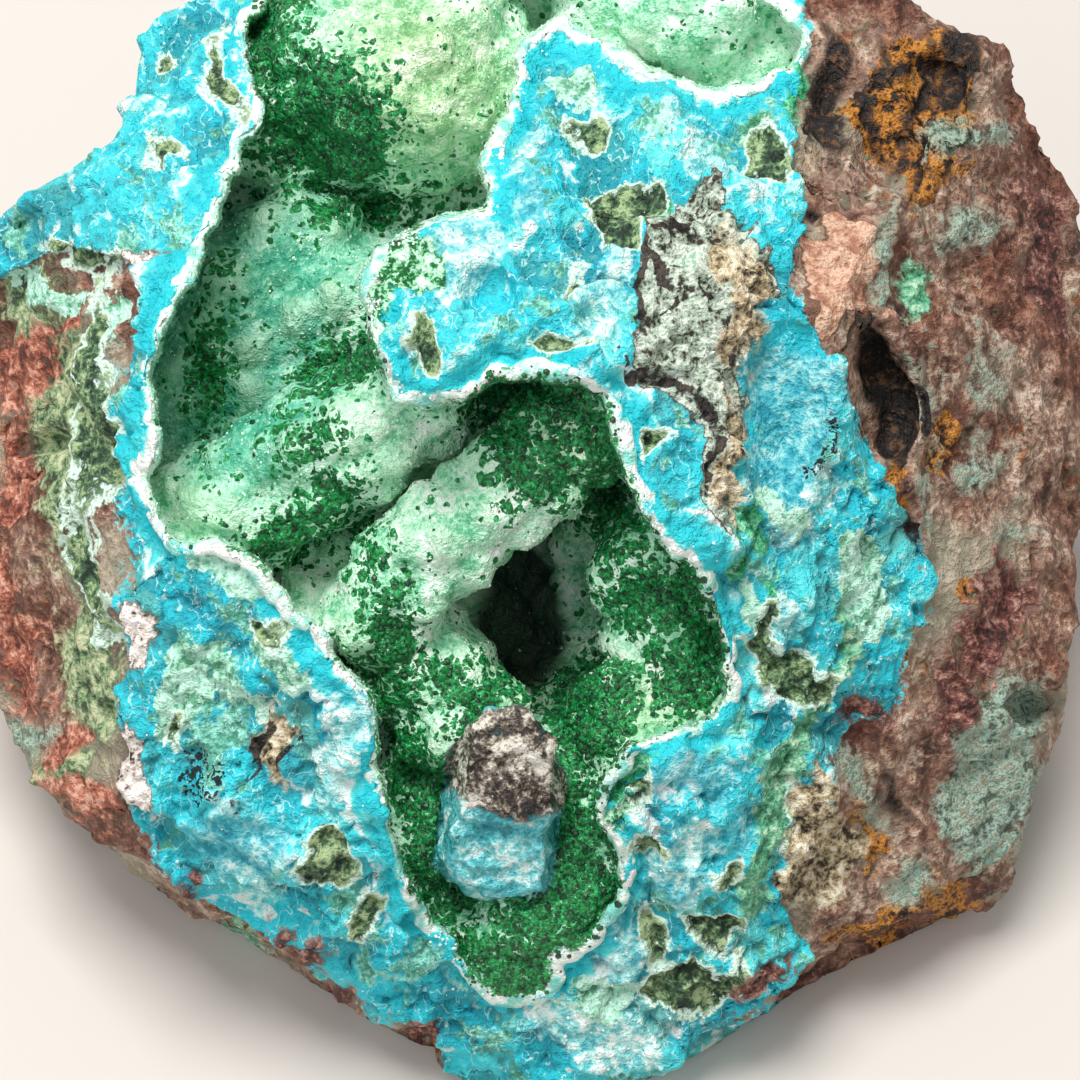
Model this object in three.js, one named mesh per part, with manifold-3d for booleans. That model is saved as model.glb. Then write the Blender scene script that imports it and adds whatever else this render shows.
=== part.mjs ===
// A hand specimen of hemimorphite with malachite, as two pieces. The rock is blue hemimorphite, broken
// through in brown host rock, and the crust is the green and white crystals that line the rock's hollow.
// Millimetres, +Z up, resting on a flat base.
//
// Everything is drawn in the frame of the broken face: "across" runs to the right, "up" runs up the face,
// and "out" points away from the rock. The face leans forward, and one matrix sets the whole on its base.
import * as THREE from "three";
import { mergeVertices } from "three/addons/utils/BufferGeometryUtils.js";
import Module from "manifold-3d";

const wasm = await Module();
wasm.setup();

// ---- Driving dimensions ----
const FACE_LEAN = 35; // degrees that the broken face leans forward from level
const MIDDLE_HEIGHT = 28; // from the base to the middle of the rock
const MIDDLE_ACROSS = 0.446; // with the next, this puts the middle of the whole rock over the origin
const MIDDLE_BACK = -5.621;
const LEAN_POINT = 360; // the hollow's walls lean in towards a point this far out from the face
const CRUST = 1.2; // thickness of the crystal crust
const GAP = 0.3; // clearance between neighbouring pieces
const FACET_SHARPNESS = 40; // higher makes crisper edges between the rock's main facets
const CHIP_SHARPNESS = 90; // and between its chips
const CHIPS = 110; // small broken facets all over the rock
const CHIP_DEPTH = 0.012; // deepest chip, as a share of the rock's radius
const CHIP_TILT = 0.11; // how far a chip turns from the facet that it is on
const ROCK_DETAIL = 7; // subdivisions of the rock's surface
const LUMP_DETAIL = 1; // of one lump of crust, or one pit
const STUMP_DETAIL = 2; // and of the stump
const MOUTH_POINTS = 48; // points round the hollow's mouth
const FLOOR_CELL = 6.5; // size of one cell of the hollow's floor

// The foot of each main facet: the point of its plane nearest the middle of the rock, [across, up, out].
const FACETS = {
  crest: [2.4, 2.4, 24.4],
  left_plateau: [-8.5, -6, 24.6],
  right_slope: [9.4, -6.3, 21.2],
  bottom_slope: [0, -13.6, 22.7],
  back_slope: [0, 19.9, 23.5],
  upper_left_slope: [-11.4, 18.2, 24.4],
  right_flank: [22.9, 0, 22.2],
  left_flank: [-28.8, -1.5, 21.2],
  right_side: [53.5, 0, -5],
  upper_right_side: [52, 21.4, 2],
  top_right_corner: [46.2, 35.1, 3],
  top_right_side: [20, 50.3, 3.3],
  top_side: [3, 59, 4],
  top_left_corner: [-43, 43, 2],
  left_side: [-54.5, 3, -4],
  lower_left_side: [-28.3, -33.6, 4.9],
  bottom_left_side: [-19.8, -39, 4.4],
  bottom_tip: [2, -48.5, 1],
  lower_right_side: [19.1, -41.7, 2.8],
  right_heel: [46.3, -12.6, 0],
  back: [0, 41, -28.6],
  back_undercut: [0, 14, -33],
  right_undercut: [41, -17.5, -25],
  left_undercut: [-43, -18.5, -26],
  right_back: [40, 32, -21],
  left_back: [-38, 31, -21],
};

// The corner missing from the top left: a notch between two broken planes, [across, up, out, distance].
const NOTCH = { over: [-0.51, 0.86, 0, 46.6], beside: [-1, 0, 0, 34] };

// The mouth of the hollow, [across, up] on the face.
const HOLLOW_MOUTH = [
  [-27, 28], [-25, 31.5], [-23, 36], [-24, 41.5], [-23.5, 45], [-21, 48], [-12, 49.5], [-4, 48.5],
  [0.5, 46.5], [6, 48], [13.5, 48.5], [19, 46], [21.5, 42], [20, 38.5], [13.5, 38], [9, 39],
  [5.5, 41], [2.5, 43.5], [-0.5, 42.5], [-2, 38.5], [-4, 34],
  [-3.5, 30.5], [-4, 27.5], [-7.5, 27], [-11, 25.5], [-14, 22.5], [-14, 18.5], [-13.5, 14],
  [-11.5, 11.5], [-7.5, 12], [-3.5, 13], [0.5, 13.5], [5, 11.5], [6.5, 8.5], [7.5, 3.5], [9.5, 0],
  [13, -2], [15, -5], [15, -10], [15.5, -13], [13.5, -15], [9, -17], [6, -19.5], [5, -23],
  [6.5, -26], [6.5, -29], [4.5, -32], [1.5, -34.5], [-0.5, -37], [-3.5, -37.5], [-6.5, -35.5],
  [-8.5, -32.5], [-10.5, -30], [-11.5, -26.5], [-13, -22.5], [-14, -18.5], [-14, -14], [-16, -10.5],
  [-19, -7.5], [-21.5, -5], [-24, -2], [-27, 0], [-30.5, 0], [-32.5, 2.5], [-32.5, 7.5],
  [-32, 11.5], [-32, 15], [-30.5, 18.5], [-29, 21.5], [-28, 25],
];

// The hollow's floor passes through these spots, and blends between them: [across, up, out].
const FLOOR_SPOTS = [
  [-20, 45, -8], [-12, 49, -5], [-2, 45, -9], [8, 45, -5], [17, 43, -4], [-14, 38, 1], [-5, 36, -10],
  [-20, 37, -8], [-23, 28.5, -14], [-13, 27.5, -12], [-6, 29, -11], [-27, 22, -5], [-20, 20, -3],
  [-31, 12, -3], [-25, 12, -5], [-18, 13, -2], [-11.5, 20, -2], [-29, 4, -4], [-23, 1, -2],
  [-15, 1.5, 1], [-10, 10, -1], [-17, -6, 3], [0, 9, -2], [2, 0, -9], [0, -7, -12], [6, -5, -9],
  [-6, -5, -2], [11, -7, 1], [13, -12, 4], [-12, -12, 2], [5, -14, -2], [9, -15, 5], [-11, -20, 1],
  [0, -20, 2], [4, -24, 4], [-9, -28, 3], [1, -29, 5], [-4, -34, 8],
];
const FLOOR_REACH = 4; // how far each spot's depth spreads over the floor
const UNDER_BRIDGE = [-4, 17, 4, 13, 9, 8]; // the passage below the blue bridge: centre and radii

// Fingers and knobs of crust: strings of overlapping balls, each [across, up, out, radius].
const FINGERS = [
  // the rear finger
  [-30, 0.5, 0, 5], [-25, 3, 2.5, 5.5], [-20, 6, 4.5, 5.8], [-15, 9, 6.5, 5.5], [-10.5, 12.5, 8, 5],
  // the front finger
  [-13, -5, 7, 4.5], [-9.5, -1, 9, 4.8], [-5, 2.5, 10.5, 4.8], [0, 6, 11.5, 4.6], [4.5, 10, 12.5, 4.6],
  // the column from the front finger to the stump
  [-11.5, -8, 4, 4.7], [-9, -12, 4, 5], [-6, -15, 5, 4.8],
  // the knobs of the right wall, the lower slopes, the back wall and the dome
  [9, -2, 5, 4.5], [11.5, -7, 4, 5.5], [12, -12, 5, 5], [8, -15.5, 5, 5],
  [3, -20, 3, 5], [4.5, -26, 5, 4.5], [-1, -33, 6, 4.5], [-9, -20, 1, 4], [-10, -26, 3, 3.5],
  [-25, 20, -7.5, 5.5], [-20, 24, -8.5, 5], [-16, 19, -5.5, 5],
  [-12, 40, -8, 11.5], [-21, 35, -11, 7], [13, 45, -4, 6], [6, 46, -6, 5],
];
// The stump of a finger that broke off: [across, up, out, radius across, radius up, radius out].
const STUMP = [[-3, -18.6, 9, 4.7, 4.6, 7], [-3.4, -25, 8, 4.6, 5.6, 8.4]];
const STUMP_BREAK = [0.06, -0.22, 0.974, 20.2]; // its broken face: [across, up, out, distance]

// Broken slabs that stand out of the rock: an outline [across, up] on the face, and how far its top is from
// the main facets.
const LEDGES = {
  blue_hemimorphite: {
    rise: 0,
    outline: [
      [21.5, 62], [21.5, 50], [22, 41], [22.5, 36.5], [21.5, 32.5], [22, 27], [22.5, 17.5], [25.5, 16],
      [26, 11.5], [27.5, 7.5], [30.5, 4], [33, -0.5], [32.5, -6], [31, -10], [30, -14], [26.5, -16.5],
      [24.5, -19], [23.5, -23.5], [21.5, -28.5], [21, -32], [26, -34], [20, -38.5], [13.5, -43.5],
      [8.5, -52], [-3.5, -53], [-10, -46], [-11.5, -41.5], [-16, -37.5], [-21, -32.5], [-26, -30.5],
      [-29, -29.5], [-31, -26], [-34.5, -21], [-36, -13.5], [-36, -8.5], [-35, -2.5], [-35.5, 3.5],
      [-36, 9], [-36, 12], [-35, 17.5], [-34.5, 22], [-37.5, 23], [-41.5, 23], [-50, 21.5], [-56, 28.5],
      [-50, 38], [-42, 44], [-40, 62],
    ],
  },
  plateau: {
    rise: 1.5,
    outline: [
      [-36, -5], [-33, -0.5], [-29, 1.5], [-24, 0.5], [-18, -6], [-12, -12], [-12, -22], [-10.5, -30],
      [-10.8, -34], [-13, -35.6], [-17, -34], [-20, -30], [-22.5, -27.5], [-26, -25.2], [-30.5, -24.5],
      [-34.5, -20], [-36.3, -13],
    ],
  },
  crest: {
    rise: 1.2,
    outline: [
      [-14.6, 22.5], [-12.5, 25], [-7.5, 27], [-1.5, 28], [4, 30], [9, 28.8], [14.5, 30], [18.8, 26],
      [18.8, 17.5], [16.7, 11.7], [16.7, -1.5], [13.5, -3.5], [7, 2], [5.5, 9], [4, 12.5], [-2, 13],
      [-8, 12], [-13, 13.5],
    ],
  },
  lower_right_swell: {
    rise: 1,
    outline: [
      [6.5, -21], [12.5, -16.5], [18.5, -16.5], [21.5, -13.5], [25, -9.5], [26, -15], [24, -22],
      [21.5, -30], [16.5, -30], [12.5, -28.5], [9, -25.5],
    ],
  },
};
const HOST_RISE = -1.1; // the brown host rock, all round them, is lower
const LEDGE_FLOOR = -12; // the ledges' walls go no further back than this

// Pits and ledges broken into the rock: [across, up, out, radius across, radius up, radius out].
const PITS = [
  [20.8, 10.5, 21, 4.2, 8.5, 5], // a drusy pocket right of the crest
  [-4.5, 21.5, 25, 3.4, 3.8, 5], // on the bridge
  [5, 19.2, 25, 2.6, 4.2, 4], // beside the crest
  [-25.6, -25.8, 16, 4.6, 4, 4], // at the lower left
  [12.6, -28.2, 17, 1.6, 3.6, 4], // at the lower right
  [29, 10.8, 16, 3.2, 6.2, 7.5], // the dark hole
  [31.3, 0.8, 16, 1.5, 3.6, 4], // the slit below it
  [29.6, 35.5, 10, 4.2, 6.8, 6], // the ochre hollow
  [33.2, 38, 5, 3, 4, 5], // its deep end
  [24.6, 35.5, 11, 1.5, 7, 4], // the black groove
  [-27, -33, 11, 7.5, 3.6, 6], // the ledge at the lower left
  [-18.5, -39.5, 9, 8.5, 3.8, 6], // the ledge at the bottom
  [-7, -46, 6, 6.5, 3.6, 5], // the ledge at the foot
  [12, 44, -28, 9, 7, 6], // a hollow in the back
  [-44, 8, 2, 5, 1.6, 6], // a cleft on the left
  [44, -14, 2, 6, 1.8, 6], // a cleft on the right
];

// ---- From the face's frame to the part's frame ----
const FACE_TO_PART = new THREE.Matrix4()
  .makeTranslation(MIDDLE_ACROSS, MIDDLE_BACK, MIDDLE_HEIGHT)
  .multiply(new THREE.Matrix4().makeRotationX(THREE.MathUtils.degToRad(FACE_LEAN)));
const PART_TO_FACE = FACE_TO_PART.clone().invert();

// A spot on the face, seen from the lean point, at a given distance out.
function place(across, up, out) {
  const share = 1 - out / LEAN_POINT;
  return new THREE.Vector3(across * share, up * share, out);
}

// ---- Solids ----
function solid(geometry) {
  const bare = geometry.clone();
  bare.deleteAttribute("normal");
  bare.deleteAttribute("uv");
  const merged = mergeVertices(bare, 1e-4);
  const mesh = new wasm.Mesh({
    numProp: 3,
    vertProperties: merged.attributes.position.array,
    triVerts: new Uint32Array(merged.index.array),
  });
  return new wasm.Manifold(mesh);
}

// The biggest body of a solid, as a geometry: crumbs that a cut leaves loose are dropped. Triangles that
// share a corner belong to one body, so each corner points on to another until it reaches its body's last.
function geometryOf(shape) {
  const { vertProperties, triVerts } = shape.getMesh();
  const next = Array.from({ length: vertProperties.length / 3 }, (_, i) => i);
  const last = (i) => {
    while (next[i] !== i) i = next[i] = next[next[i]];
    return i;
  };
  const starts = Array.from({ length: triVerts.length / 3 }, (_, i) => 3 * i);
  const triangles = starts.map((start) => triVerts.slice(start, start + 3));
  for (const [a, b, c] of triangles) next[last(a)] = next[last(b)] = last(c);
  const sizes = new Map();
  for (const [a] of triangles) sizes.set(last(a), (sizes.get(last(a)) ?? 0) + 1);
  const biggest = [...sizes].sort((a, b) => b[1] - a[1])[0][0];
  return new THREE.BufferGeometry()
    .setAttribute("position", new THREE.BufferAttribute(vertProperties, 3))
    .setIndex(triangles.filter(([a]) => last(a) === biggest).flatMap((t) => [...t]));
}

function joined(shapes) {
  return shapes.reduce((whole, shape) => whole.add(shape));
}

// A repeatable number from 0 to 1 for each whole number.
function scatter(seed) {
  const wave = Math.sin(seed * 12.9898) * 43758.5453;
  return wave - Math.floor(wave);
}

// Rounded lumps about `size` mm across, from -1 to 1.
function lumps(point, size) {
  const { x, y, z } = point.clone().multiplyScalar(Math.PI / size);
  return (
    Math.sin(x + 0.6 * y) * Math.cos(y - 0.5 * z) * Math.sin(z + 0.7 * x + 1.3) +
    0.5 * Math.sin(1.9 * y + 0.4 * x + 2.1) * Math.cos(1.7 * z - 0.8 * y)
  );
}

// ---- The outer shape of the rock ----
// A facet whose plane passes through foot f holds the points where f.p / |f|^2 = 1. The gauge of a point is
// the smooth maximum of that over all facets: under 1 inside the rock and 1 on its surface.
function facetOf(foot) {
  return foot.clone().divideScalar(foot.lengthSq());
}

function smoothMaximum(values, sharpness) {
  const highest = Math.max(...values, 1e-9);
  const sum = values.reduce((s, v) => s + (Math.max(v, 0) / highest) ** sharpness, 0);
  return highest * sum ** (1 / sharpness);
}

function gauge(point, facets) {
  return smoothMaximum(facets.map((f) => f.dot(point)), FACET_SHARPNESS);
}

// The way that the rock's surface faces where a line from its middle leaves it.
function slope(point, facets) {
  const total = new THREE.Vector3();
  const highest = gauge(point, facets);
  for (const f of facets) {
    total.addScaledVector(f, Math.max(f.dot(point) / highest, 0) ** (FACET_SHARPNESS - 1));
  }
  return total.normalize();
}

// Chips lie evenly over the rock on a golden spiral. Each is a plane nearly parallel to the facet it is on.
function chipFacets(mainFacets) {
  const golden = Math.PI * (3 - Math.sqrt(5));
  return Array.from({ length: CHIPS }, (_, i) => {
    const height = 1 - (2 * (i + 0.5)) / CHIPS;
    const radius = Math.sqrt(1 - height * height);
    const toward = new THREE.Vector3(radius * Math.cos(golden * i), radius * Math.sin(golden * i), height);
    const depth = CHIP_DEPTH * (2 * scatter(i) - 1);
    const at = toward.clone().multiplyScalar((1 - depth) / gauge(toward, mainFacets));
    const tilt = [1, 2, 3].map((k) => (scatter(i + 100 * k) - 0.5) * 2 * CHIP_TILT);
    const normal = slope(toward, mainFacets).add(new THREE.Vector3(...tilt)).normalize();
    return facetOf(normal.clone().multiplyScalar(normal.dot(at)));
  });
}

function rockGeometry(rise) {
  const main = Object.values(FACETS).map((foot) => facetOf(new THREE.Vector3(...foot)));
  const chips = chipFacets(main);
  const geometry = new THREE.IcosahedronGeometry(1, ROCK_DETAIL);
  const positions = geometry.attributes.position;
  const point = new THREE.Vector3();
  for (let i = 0; i < positions.count; i++) {
    point.fromBufferAttribute(positions, i).normalize();
    const levels = [gauge(point, main), ...chips.map((chip) => chip.dot(point))];
    point.divideScalar(smoothMaximum(levels, CHIP_SHARPNESS));
    point.addScaledVector(point.clone().normalize(), rise + 0.5 * lumps(point, 6));
    positions.setXYZ(i, point.x, point.y, point.z);
  }
  return geometry;
}

// A block with one face on a plane of the face's frame, filling the side that the normal points to.
function beyond([across, up, out, distance], size = 200) {
  const normal = new THREE.Vector3(across, up, out).normalize();
  const turn = new THREE.Quaternion().setFromUnitVectors(new THREE.Vector3(0, 0, 1), normal);
  const block = new THREE.BoxGeometry(size, size, size).translate(0, 0, size / 2 + distance);
  return solid(block.applyQuaternion(turn));
}

function belowBase() {
  const block = new THREE.BoxGeometry(400, 400, 200).translate(0, 0, -100);
  return solid(block.applyMatrix4(PART_TO_FACE));
}

function rockOutside() {
  const { over, beside } = NOTCH;
  const notch = beyond(over).intersect(beyond(beside));
  const ledges = Object.values(LEDGES).map(({ rise, outline }) => {
    const walls = cutThrough(outline, 0, outline.length, LEDGE_FLOOR);
    return solid(rockGeometry(rise)).intersect(walls);
  });
  return joined([solid(rockGeometry(HOST_RISE)), ...ledges]).subtract(notch).subtract(belowBase());
}

// ---- Hollows ----
// A straight-sided cut through the face: an outline, widened by `grow`, whose walls lean to the lean point.
function cutThrough(outline, grow, samples, low = -30) {
  const curve = new THREE.CatmullRomCurve3(outline.map(([a, b]) => new THREE.Vector3(a, b, 0)), true);
  const points = Array.from({ length: samples }, (_, i) => {
    const at = curve.getPointAt(i / samples);
    const along = curve.getTangentAt(i / samples);
    return new THREE.Vector2(at.x - along.y * grow, at.y + along.x * grow);
  });
  const depth = 40 - low;
  const wall = new THREE.ExtrudeGeometry(new THREE.Shape(points), { depth, bevelEnabled: false });
  wall.translate(0, 0, low);
  const positions = wall.attributes.position;
  for (let i = 0; i < positions.count; i++) {
    const spot = place(positions.getX(i), positions.getY(i), positions.getZ(i));
    positions.setXYZ(i, spot.x, spot.y, spot.z);
  }
  return solid(wall);
}

// A lump with one radius, or with three: across, up and out.
function ellipsoid([across, up, out, ...radii], grow, detail, roughness = 0) {
  const [radiusAcross, radiusUp = radiusAcross, radiusOut = radiusAcross] = radii;
  const centre = place(across, up, out);
  const geometry = new THREE.IcosahedronGeometry(1, detail);
  const positions = geometry.attributes.position;
  const point = new THREE.Vector3();
  for (let i = 0; i < positions.count; i++) {
    point.fromBufferAttribute(positions, i).normalize();
    const bump = grow + roughness * lumps(point.clone().multiplyScalar(radiusOut), 5);
    point.set(point.x * (radiusAcross + bump), point.y * (radiusUp + bump), point.z * (radiusOut + bump));
    point.add(centre);
    positions.setXYZ(i, point.x, point.y, point.z);
  }
  return solid(geometry);
}

// How far out the hollow's floor is: a blend of the nearest spots' depths.
function floorAt(across, up) {
  let [total, weights] = [0, 0];
  for (const [a, b, out] of FLOOR_SPOTS) {
    const weight = Math.exp(-((across - a) ** 2 + (up - b) ** 2) / (2 * FLOOR_REACH ** 2)) + 1e-9;
    total += weight * out;
    weights += weight;
  }
  return total / weights;
}

// All of the space above the hollow's floor, which is lowered by `grow`.
function aboveFloor(grow) {
  const [width, height, top] = [65, 95, 40];
  const cells = [width / FLOOR_CELL, height / FLOOR_CELL];
  const block = new THREE.BoxGeometry(width, height, 1, ...cells, 1).translate(-5, 6, 0);
  const positions = block.attributes.position;
  for (let i = 0; i < positions.count; i++) {
    const [across, up] = [positions.getX(i), positions.getY(i)];
    const out = positions.getZ(i) > 0 ? top : floorAt(across, up) - grow;
    const spot = place(across, up, out);
    positions.setXYZ(i, spot.x, spot.y, spot.z);
  }
  return solid(block);
}

function hollow(grow) {
  const bridge = ellipsoid(UNDER_BRIDGE, grow, LUMP_DETAIL, 0.5);
  return cutThrough(HOLLOW_MOUTH, grow, MOUTH_POINTS).intersect(aboveFloor(grow)).add(bridge);
}

// ---- The two pieces ----
function lumpsOf(group, detail, roughness) {
  return joined(group.map((lump) => ellipsoid(lump, 0, detail, roughness)));
}

function rock(outside) {
  return outside.subtract(hollow(CRUST + GAP)).subtract(lumpsOf(PITS, LUMP_DETAIL, 0.4));
}

// The crust lines the hollow, and its fingers and the stump stand in the space that the hollow leaves.
function crystalCrust(outside) {
  const fingers = lumpsOf(FINGERS, LUMP_DETAIL, 0.3);
  const stump = lumpsOf(STUMP, STUMP_DETAIL, 0.4).subtract(beyond(STUMP_BREAK));
  const space = hollow(0).subtract(fingers).subtract(stump);
  return hollow(CRUST).subtract(space).intersect(outside);
}

// ---- Materials ----
function stone(colour, roughness) {
  return new THREE.MeshStandardMaterial({ color: colour, roughness, metalness: 0 });
}

function piece(name, shape, material) {
  const mesh = new THREE.Mesh(geometryOf(shape).applyMatrix4(FACE_TO_PART), material);
  mesh.name = name;
  return mesh;
}

const outside = rockOutside();
const specimen = new THREE.Group();
specimen.add(piece("rock", rock(outside), stone("#5fb0ab", 0.8)));
specimen.add(piece("crystal_crust", crystalCrust(outside), stone("#4f9a6c", 0.55)));

export default specimen;
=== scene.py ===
# %% [markdown]
# # Hemimorphite with malachite
# A hand specimen: sky-blue hemimorphite broken through in brown host rock, round a deep hollow that is lined
# with a sugary green and white crust. This notebook builds its looks round the imported solids, which give its
# size and stay in the scene. The first cell loads them.
# %% Load the imported solids
import math
import time
import bpy
import numpy as np
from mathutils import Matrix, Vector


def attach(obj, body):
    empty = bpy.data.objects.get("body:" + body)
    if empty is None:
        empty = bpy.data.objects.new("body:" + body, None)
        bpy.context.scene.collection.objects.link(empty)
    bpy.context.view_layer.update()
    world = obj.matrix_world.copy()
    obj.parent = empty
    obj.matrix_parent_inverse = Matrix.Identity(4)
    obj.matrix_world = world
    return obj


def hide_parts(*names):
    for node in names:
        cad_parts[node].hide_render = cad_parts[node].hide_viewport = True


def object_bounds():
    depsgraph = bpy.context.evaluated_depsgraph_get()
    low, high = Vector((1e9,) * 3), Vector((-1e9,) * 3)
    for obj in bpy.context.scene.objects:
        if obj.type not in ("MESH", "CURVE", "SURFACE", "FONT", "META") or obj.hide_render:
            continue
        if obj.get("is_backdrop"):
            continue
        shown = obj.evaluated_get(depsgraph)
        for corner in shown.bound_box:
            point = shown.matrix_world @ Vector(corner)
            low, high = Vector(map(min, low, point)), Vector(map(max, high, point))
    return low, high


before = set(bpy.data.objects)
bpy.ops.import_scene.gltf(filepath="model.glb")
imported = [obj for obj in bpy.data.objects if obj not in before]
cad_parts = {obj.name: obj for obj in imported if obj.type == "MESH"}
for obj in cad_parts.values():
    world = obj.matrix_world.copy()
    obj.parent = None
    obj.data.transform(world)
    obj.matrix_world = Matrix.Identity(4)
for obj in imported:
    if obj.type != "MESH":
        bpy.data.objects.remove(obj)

started = time.time()
MM = 0.001
cad_box = [list(corner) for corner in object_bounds()]
print("solids:", sorted(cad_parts), "box in metres:", cad_box)

# %% [markdown]
# ## The frame of the broken face
# A mineral specimen is described from its broken face, so every shape here is drawn in that face's own frame:
# "across" to the right, "up" along the face, "out" away from the rock, in millimetres. The face leans forward
# 35 degrees. Outlines are drawn as they are seen from a point 360 mm out, so a spot's chart place is
# stretched by its depth. That makes a wall, drawn as an outline, run straight away from the eye.
# %% Face frame and chart
LEAN = math.radians(35)
MIDDLE = np.array([0.446, -5.621, 28.0])
EYE_OUT = 360.0
ACROSS = np.array([1.0, 0.0, 0.0])
UP = np.array([0.0, math.cos(LEAN), math.sin(LEAN)])
OUT = np.array([0.0, -math.sin(LEAN), math.cos(LEAN)])


def to_part(face):
    """Part millimetres = middle + across*ACROSS + up*UP + out*OUT."""
    return MIDDLE + face @ np.array([ACROSS, UP, OUT])


def from_chart(chart_across, chart_up, out):
    """A spot seen at a chart place and lying `out` from the middle: chart place times (1 - out/360)."""
    share = 1 - out / EYE_OUT
    return np.stack(np.broadcast_arrays(chart_across * share, chart_up * share, out), axis=-1)


def chart_of(face):
    """The chart place of face points: divide by (1 - out/360)."""
    share = 1 - face[..., 2] / EYE_OUT
    return face[..., 0] / share, face[..., 1] / share


print("the eye stands at", to_part(np.array([0.0, 0.0, EYE_OUT])).round(1), "mm")

# %% [markdown]
# ## Camera
# The lens is long, as for a close-up of a small thing, so shapes hardly shrink with depth. The camera stands
# at the eye point and looks straight down on the broken face, with no shift and no depth of field.
# %% Camera
SENSOR = 36.0
HALF_VIEW = 45.0
camera_data = bpy.data.cameras.new("close_up_camera")
camera_data.sensor_width = SENSOR
camera_data.lens = SENSOR / 2 * EYE_OUT / HALF_VIEW
camera_data.clip_start = 0.02
camera_data.clip_end = 20.0
camera = bpy.data.objects.new("close_up_camera", camera_data)
bpy.context.collection.objects.link(camera)
camera.location = (to_part(np.array([0.0, 0.0, EYE_OUT])) * MM).tolist()
camera.rotation_euler = (LEAN, 0.0, 0.0)
bpy.context.scene.camera = camera
print("lens", camera_data.lens, "mm")

# %% [markdown]
# ## Repeatable roughness
# Broken rock and grown crusts are rough at every size. Two kinds of noise give that: a smooth one, whose
# values are drawn on a lattice and blended between, and a cell one, which measures how far the nearest of
# many scattered seeds is and so makes the round knobs that a crust grows in. Both work on whole arrays.
# %% Noise
rng = np.random.default_rng(11)
LATTICE = 64
lattice_values = rng.uniform(-1, 1, (LATTICE, LATTICE, LATTICE)).astype(np.float32)
lattice_seeds = rng.uniform(0.1, 0.9, (LATTICE, LATTICE, LATTICE, 3)).astype(np.float32)


def smooth_noise(points, size, shift=0.0):
    """Values from -1 to 1, `size` mm apart: eight lattice values blended by 3t^2 - 2t^3."""
    q = points / size + shift
    low = np.floor(q).astype(int)
    t = q - low
    t = t * t * (3 - 2 * t)
    total = 0.0
    for corner in np.ndindex(2, 2, 2):
        weight = np.prod([t[..., k] if c else 1 - t[..., k] for k, c in enumerate(corner)], axis=0)
        i, j, k = [(low[..., a] + corner[a]) % LATTICE for a in range(3)]
        total = total + weight * lattice_values[i, j, k]
    return total


def layered_noise(points, size, layers=4, shift=0.0):
    """A sum of smooth noises, each half the size and about half the strength of the one before."""
    return sum(smooth_noise(points, size / 2**n, shift + 7.3 * n) * 0.55**n for n in range(layers))


def knob_noise(points, size, shift=0.0):
    """Round knobs: 1 at a seed, falling with distance to it, and the creases between knobs near 0."""
    q = points / size + shift
    low = np.floor(q).astype(int)
    nearest = np.full(q.shape[:-1], 9.0)
    for step in np.ndindex(3, 3, 3):
        cell = low + np.array(step) - 1
        i, j, k = [cell[..., a] % LATTICE for a in range(3)]
        nearest = np.minimum(nearest, ((cell + lattice_seeds[i, j, k] - q) ** 2).sum(axis=-1))
    return 1 - np.sqrt(nearest)


def ease(value, low, high):
    """0 below low, 1 above high and 3t^2 - 2t^3 between."""
    t = np.clip((value - low) / (high - low), 0, 1)
    return t * t * (3 - 2 * t)


print("one knob value:", float(knob_noise(np.zeros(3), 1.0)))

# %% [markdown]
# ## The rock's outer shape
# A broken rock is nearly a set of flat facets with worn edges. Each facet is named by the foot of its plane.
# The gauge of a point is the smooth maximum of all facets, so the surface lies where the gauge is 1. Its
# radius is worked out once for every direction, on a grid of two angles, and read from there later.
# %% Facets and radius map
FACET_FEET = [
    (2.4, 2.4, 24.4), (-8.5, -6, 24.6), (9.4, -6.3, 21.2), (0, -13.6, 22.7), (0, 19.9, 23.5),
    (-11.4, 18.2, 24.4), (22.9, 0, 22.2), (-28.8, -1.5, 21.2), (53.5, 0, -5), (52, 21.4, 2), (46.2, 35.1, 3),
    (20, 50.3, 3.3), (3, 59, 4), (-43, 43, 2), (-54.5, 3, -4), (-28.3, -33.6, 4.9), (-19.8, -39, 4.4),
    (2, -48.5, 1), (19.1, -41.7, 2.8), (46.3, -12.6, 0), (0, 41, -28.6), (0, 14, -33), (41, -17.5, -25),
    (-43, -18.5, -26), (40, 32, -21), (-38, 31, -21),
]
FACET_SHARPNESS = 40
CHIP_SHARPNESS = 90
CHIPS = 110
CHIP_DEPTH = 0.012
CHIP_TILT = 0.11
RADIUS_ROWS, RADIUS_COLUMNS = 480, 960


def gauge(directions, facets, sharpness):
    """Smooth maximum of f.d over the facets f: highest * (sum of (f.d / highest)^s)^(1/s)."""
    values = np.maximum(directions @ facets.T, 0)
    highest = values.max(axis=1, keepdims=True)
    return highest[:, 0] * ((values / highest) ** sharpness).sum(axis=1) ** (1 / sharpness)


def scatter(seed):
    """A repeatable number from 0 to 1: the fraction of sin(12.9898 seed) * 43758.5453."""
    wave = np.sin(seed * 12.9898) * 43758.5453
    return wave - np.floor(wave)


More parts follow.
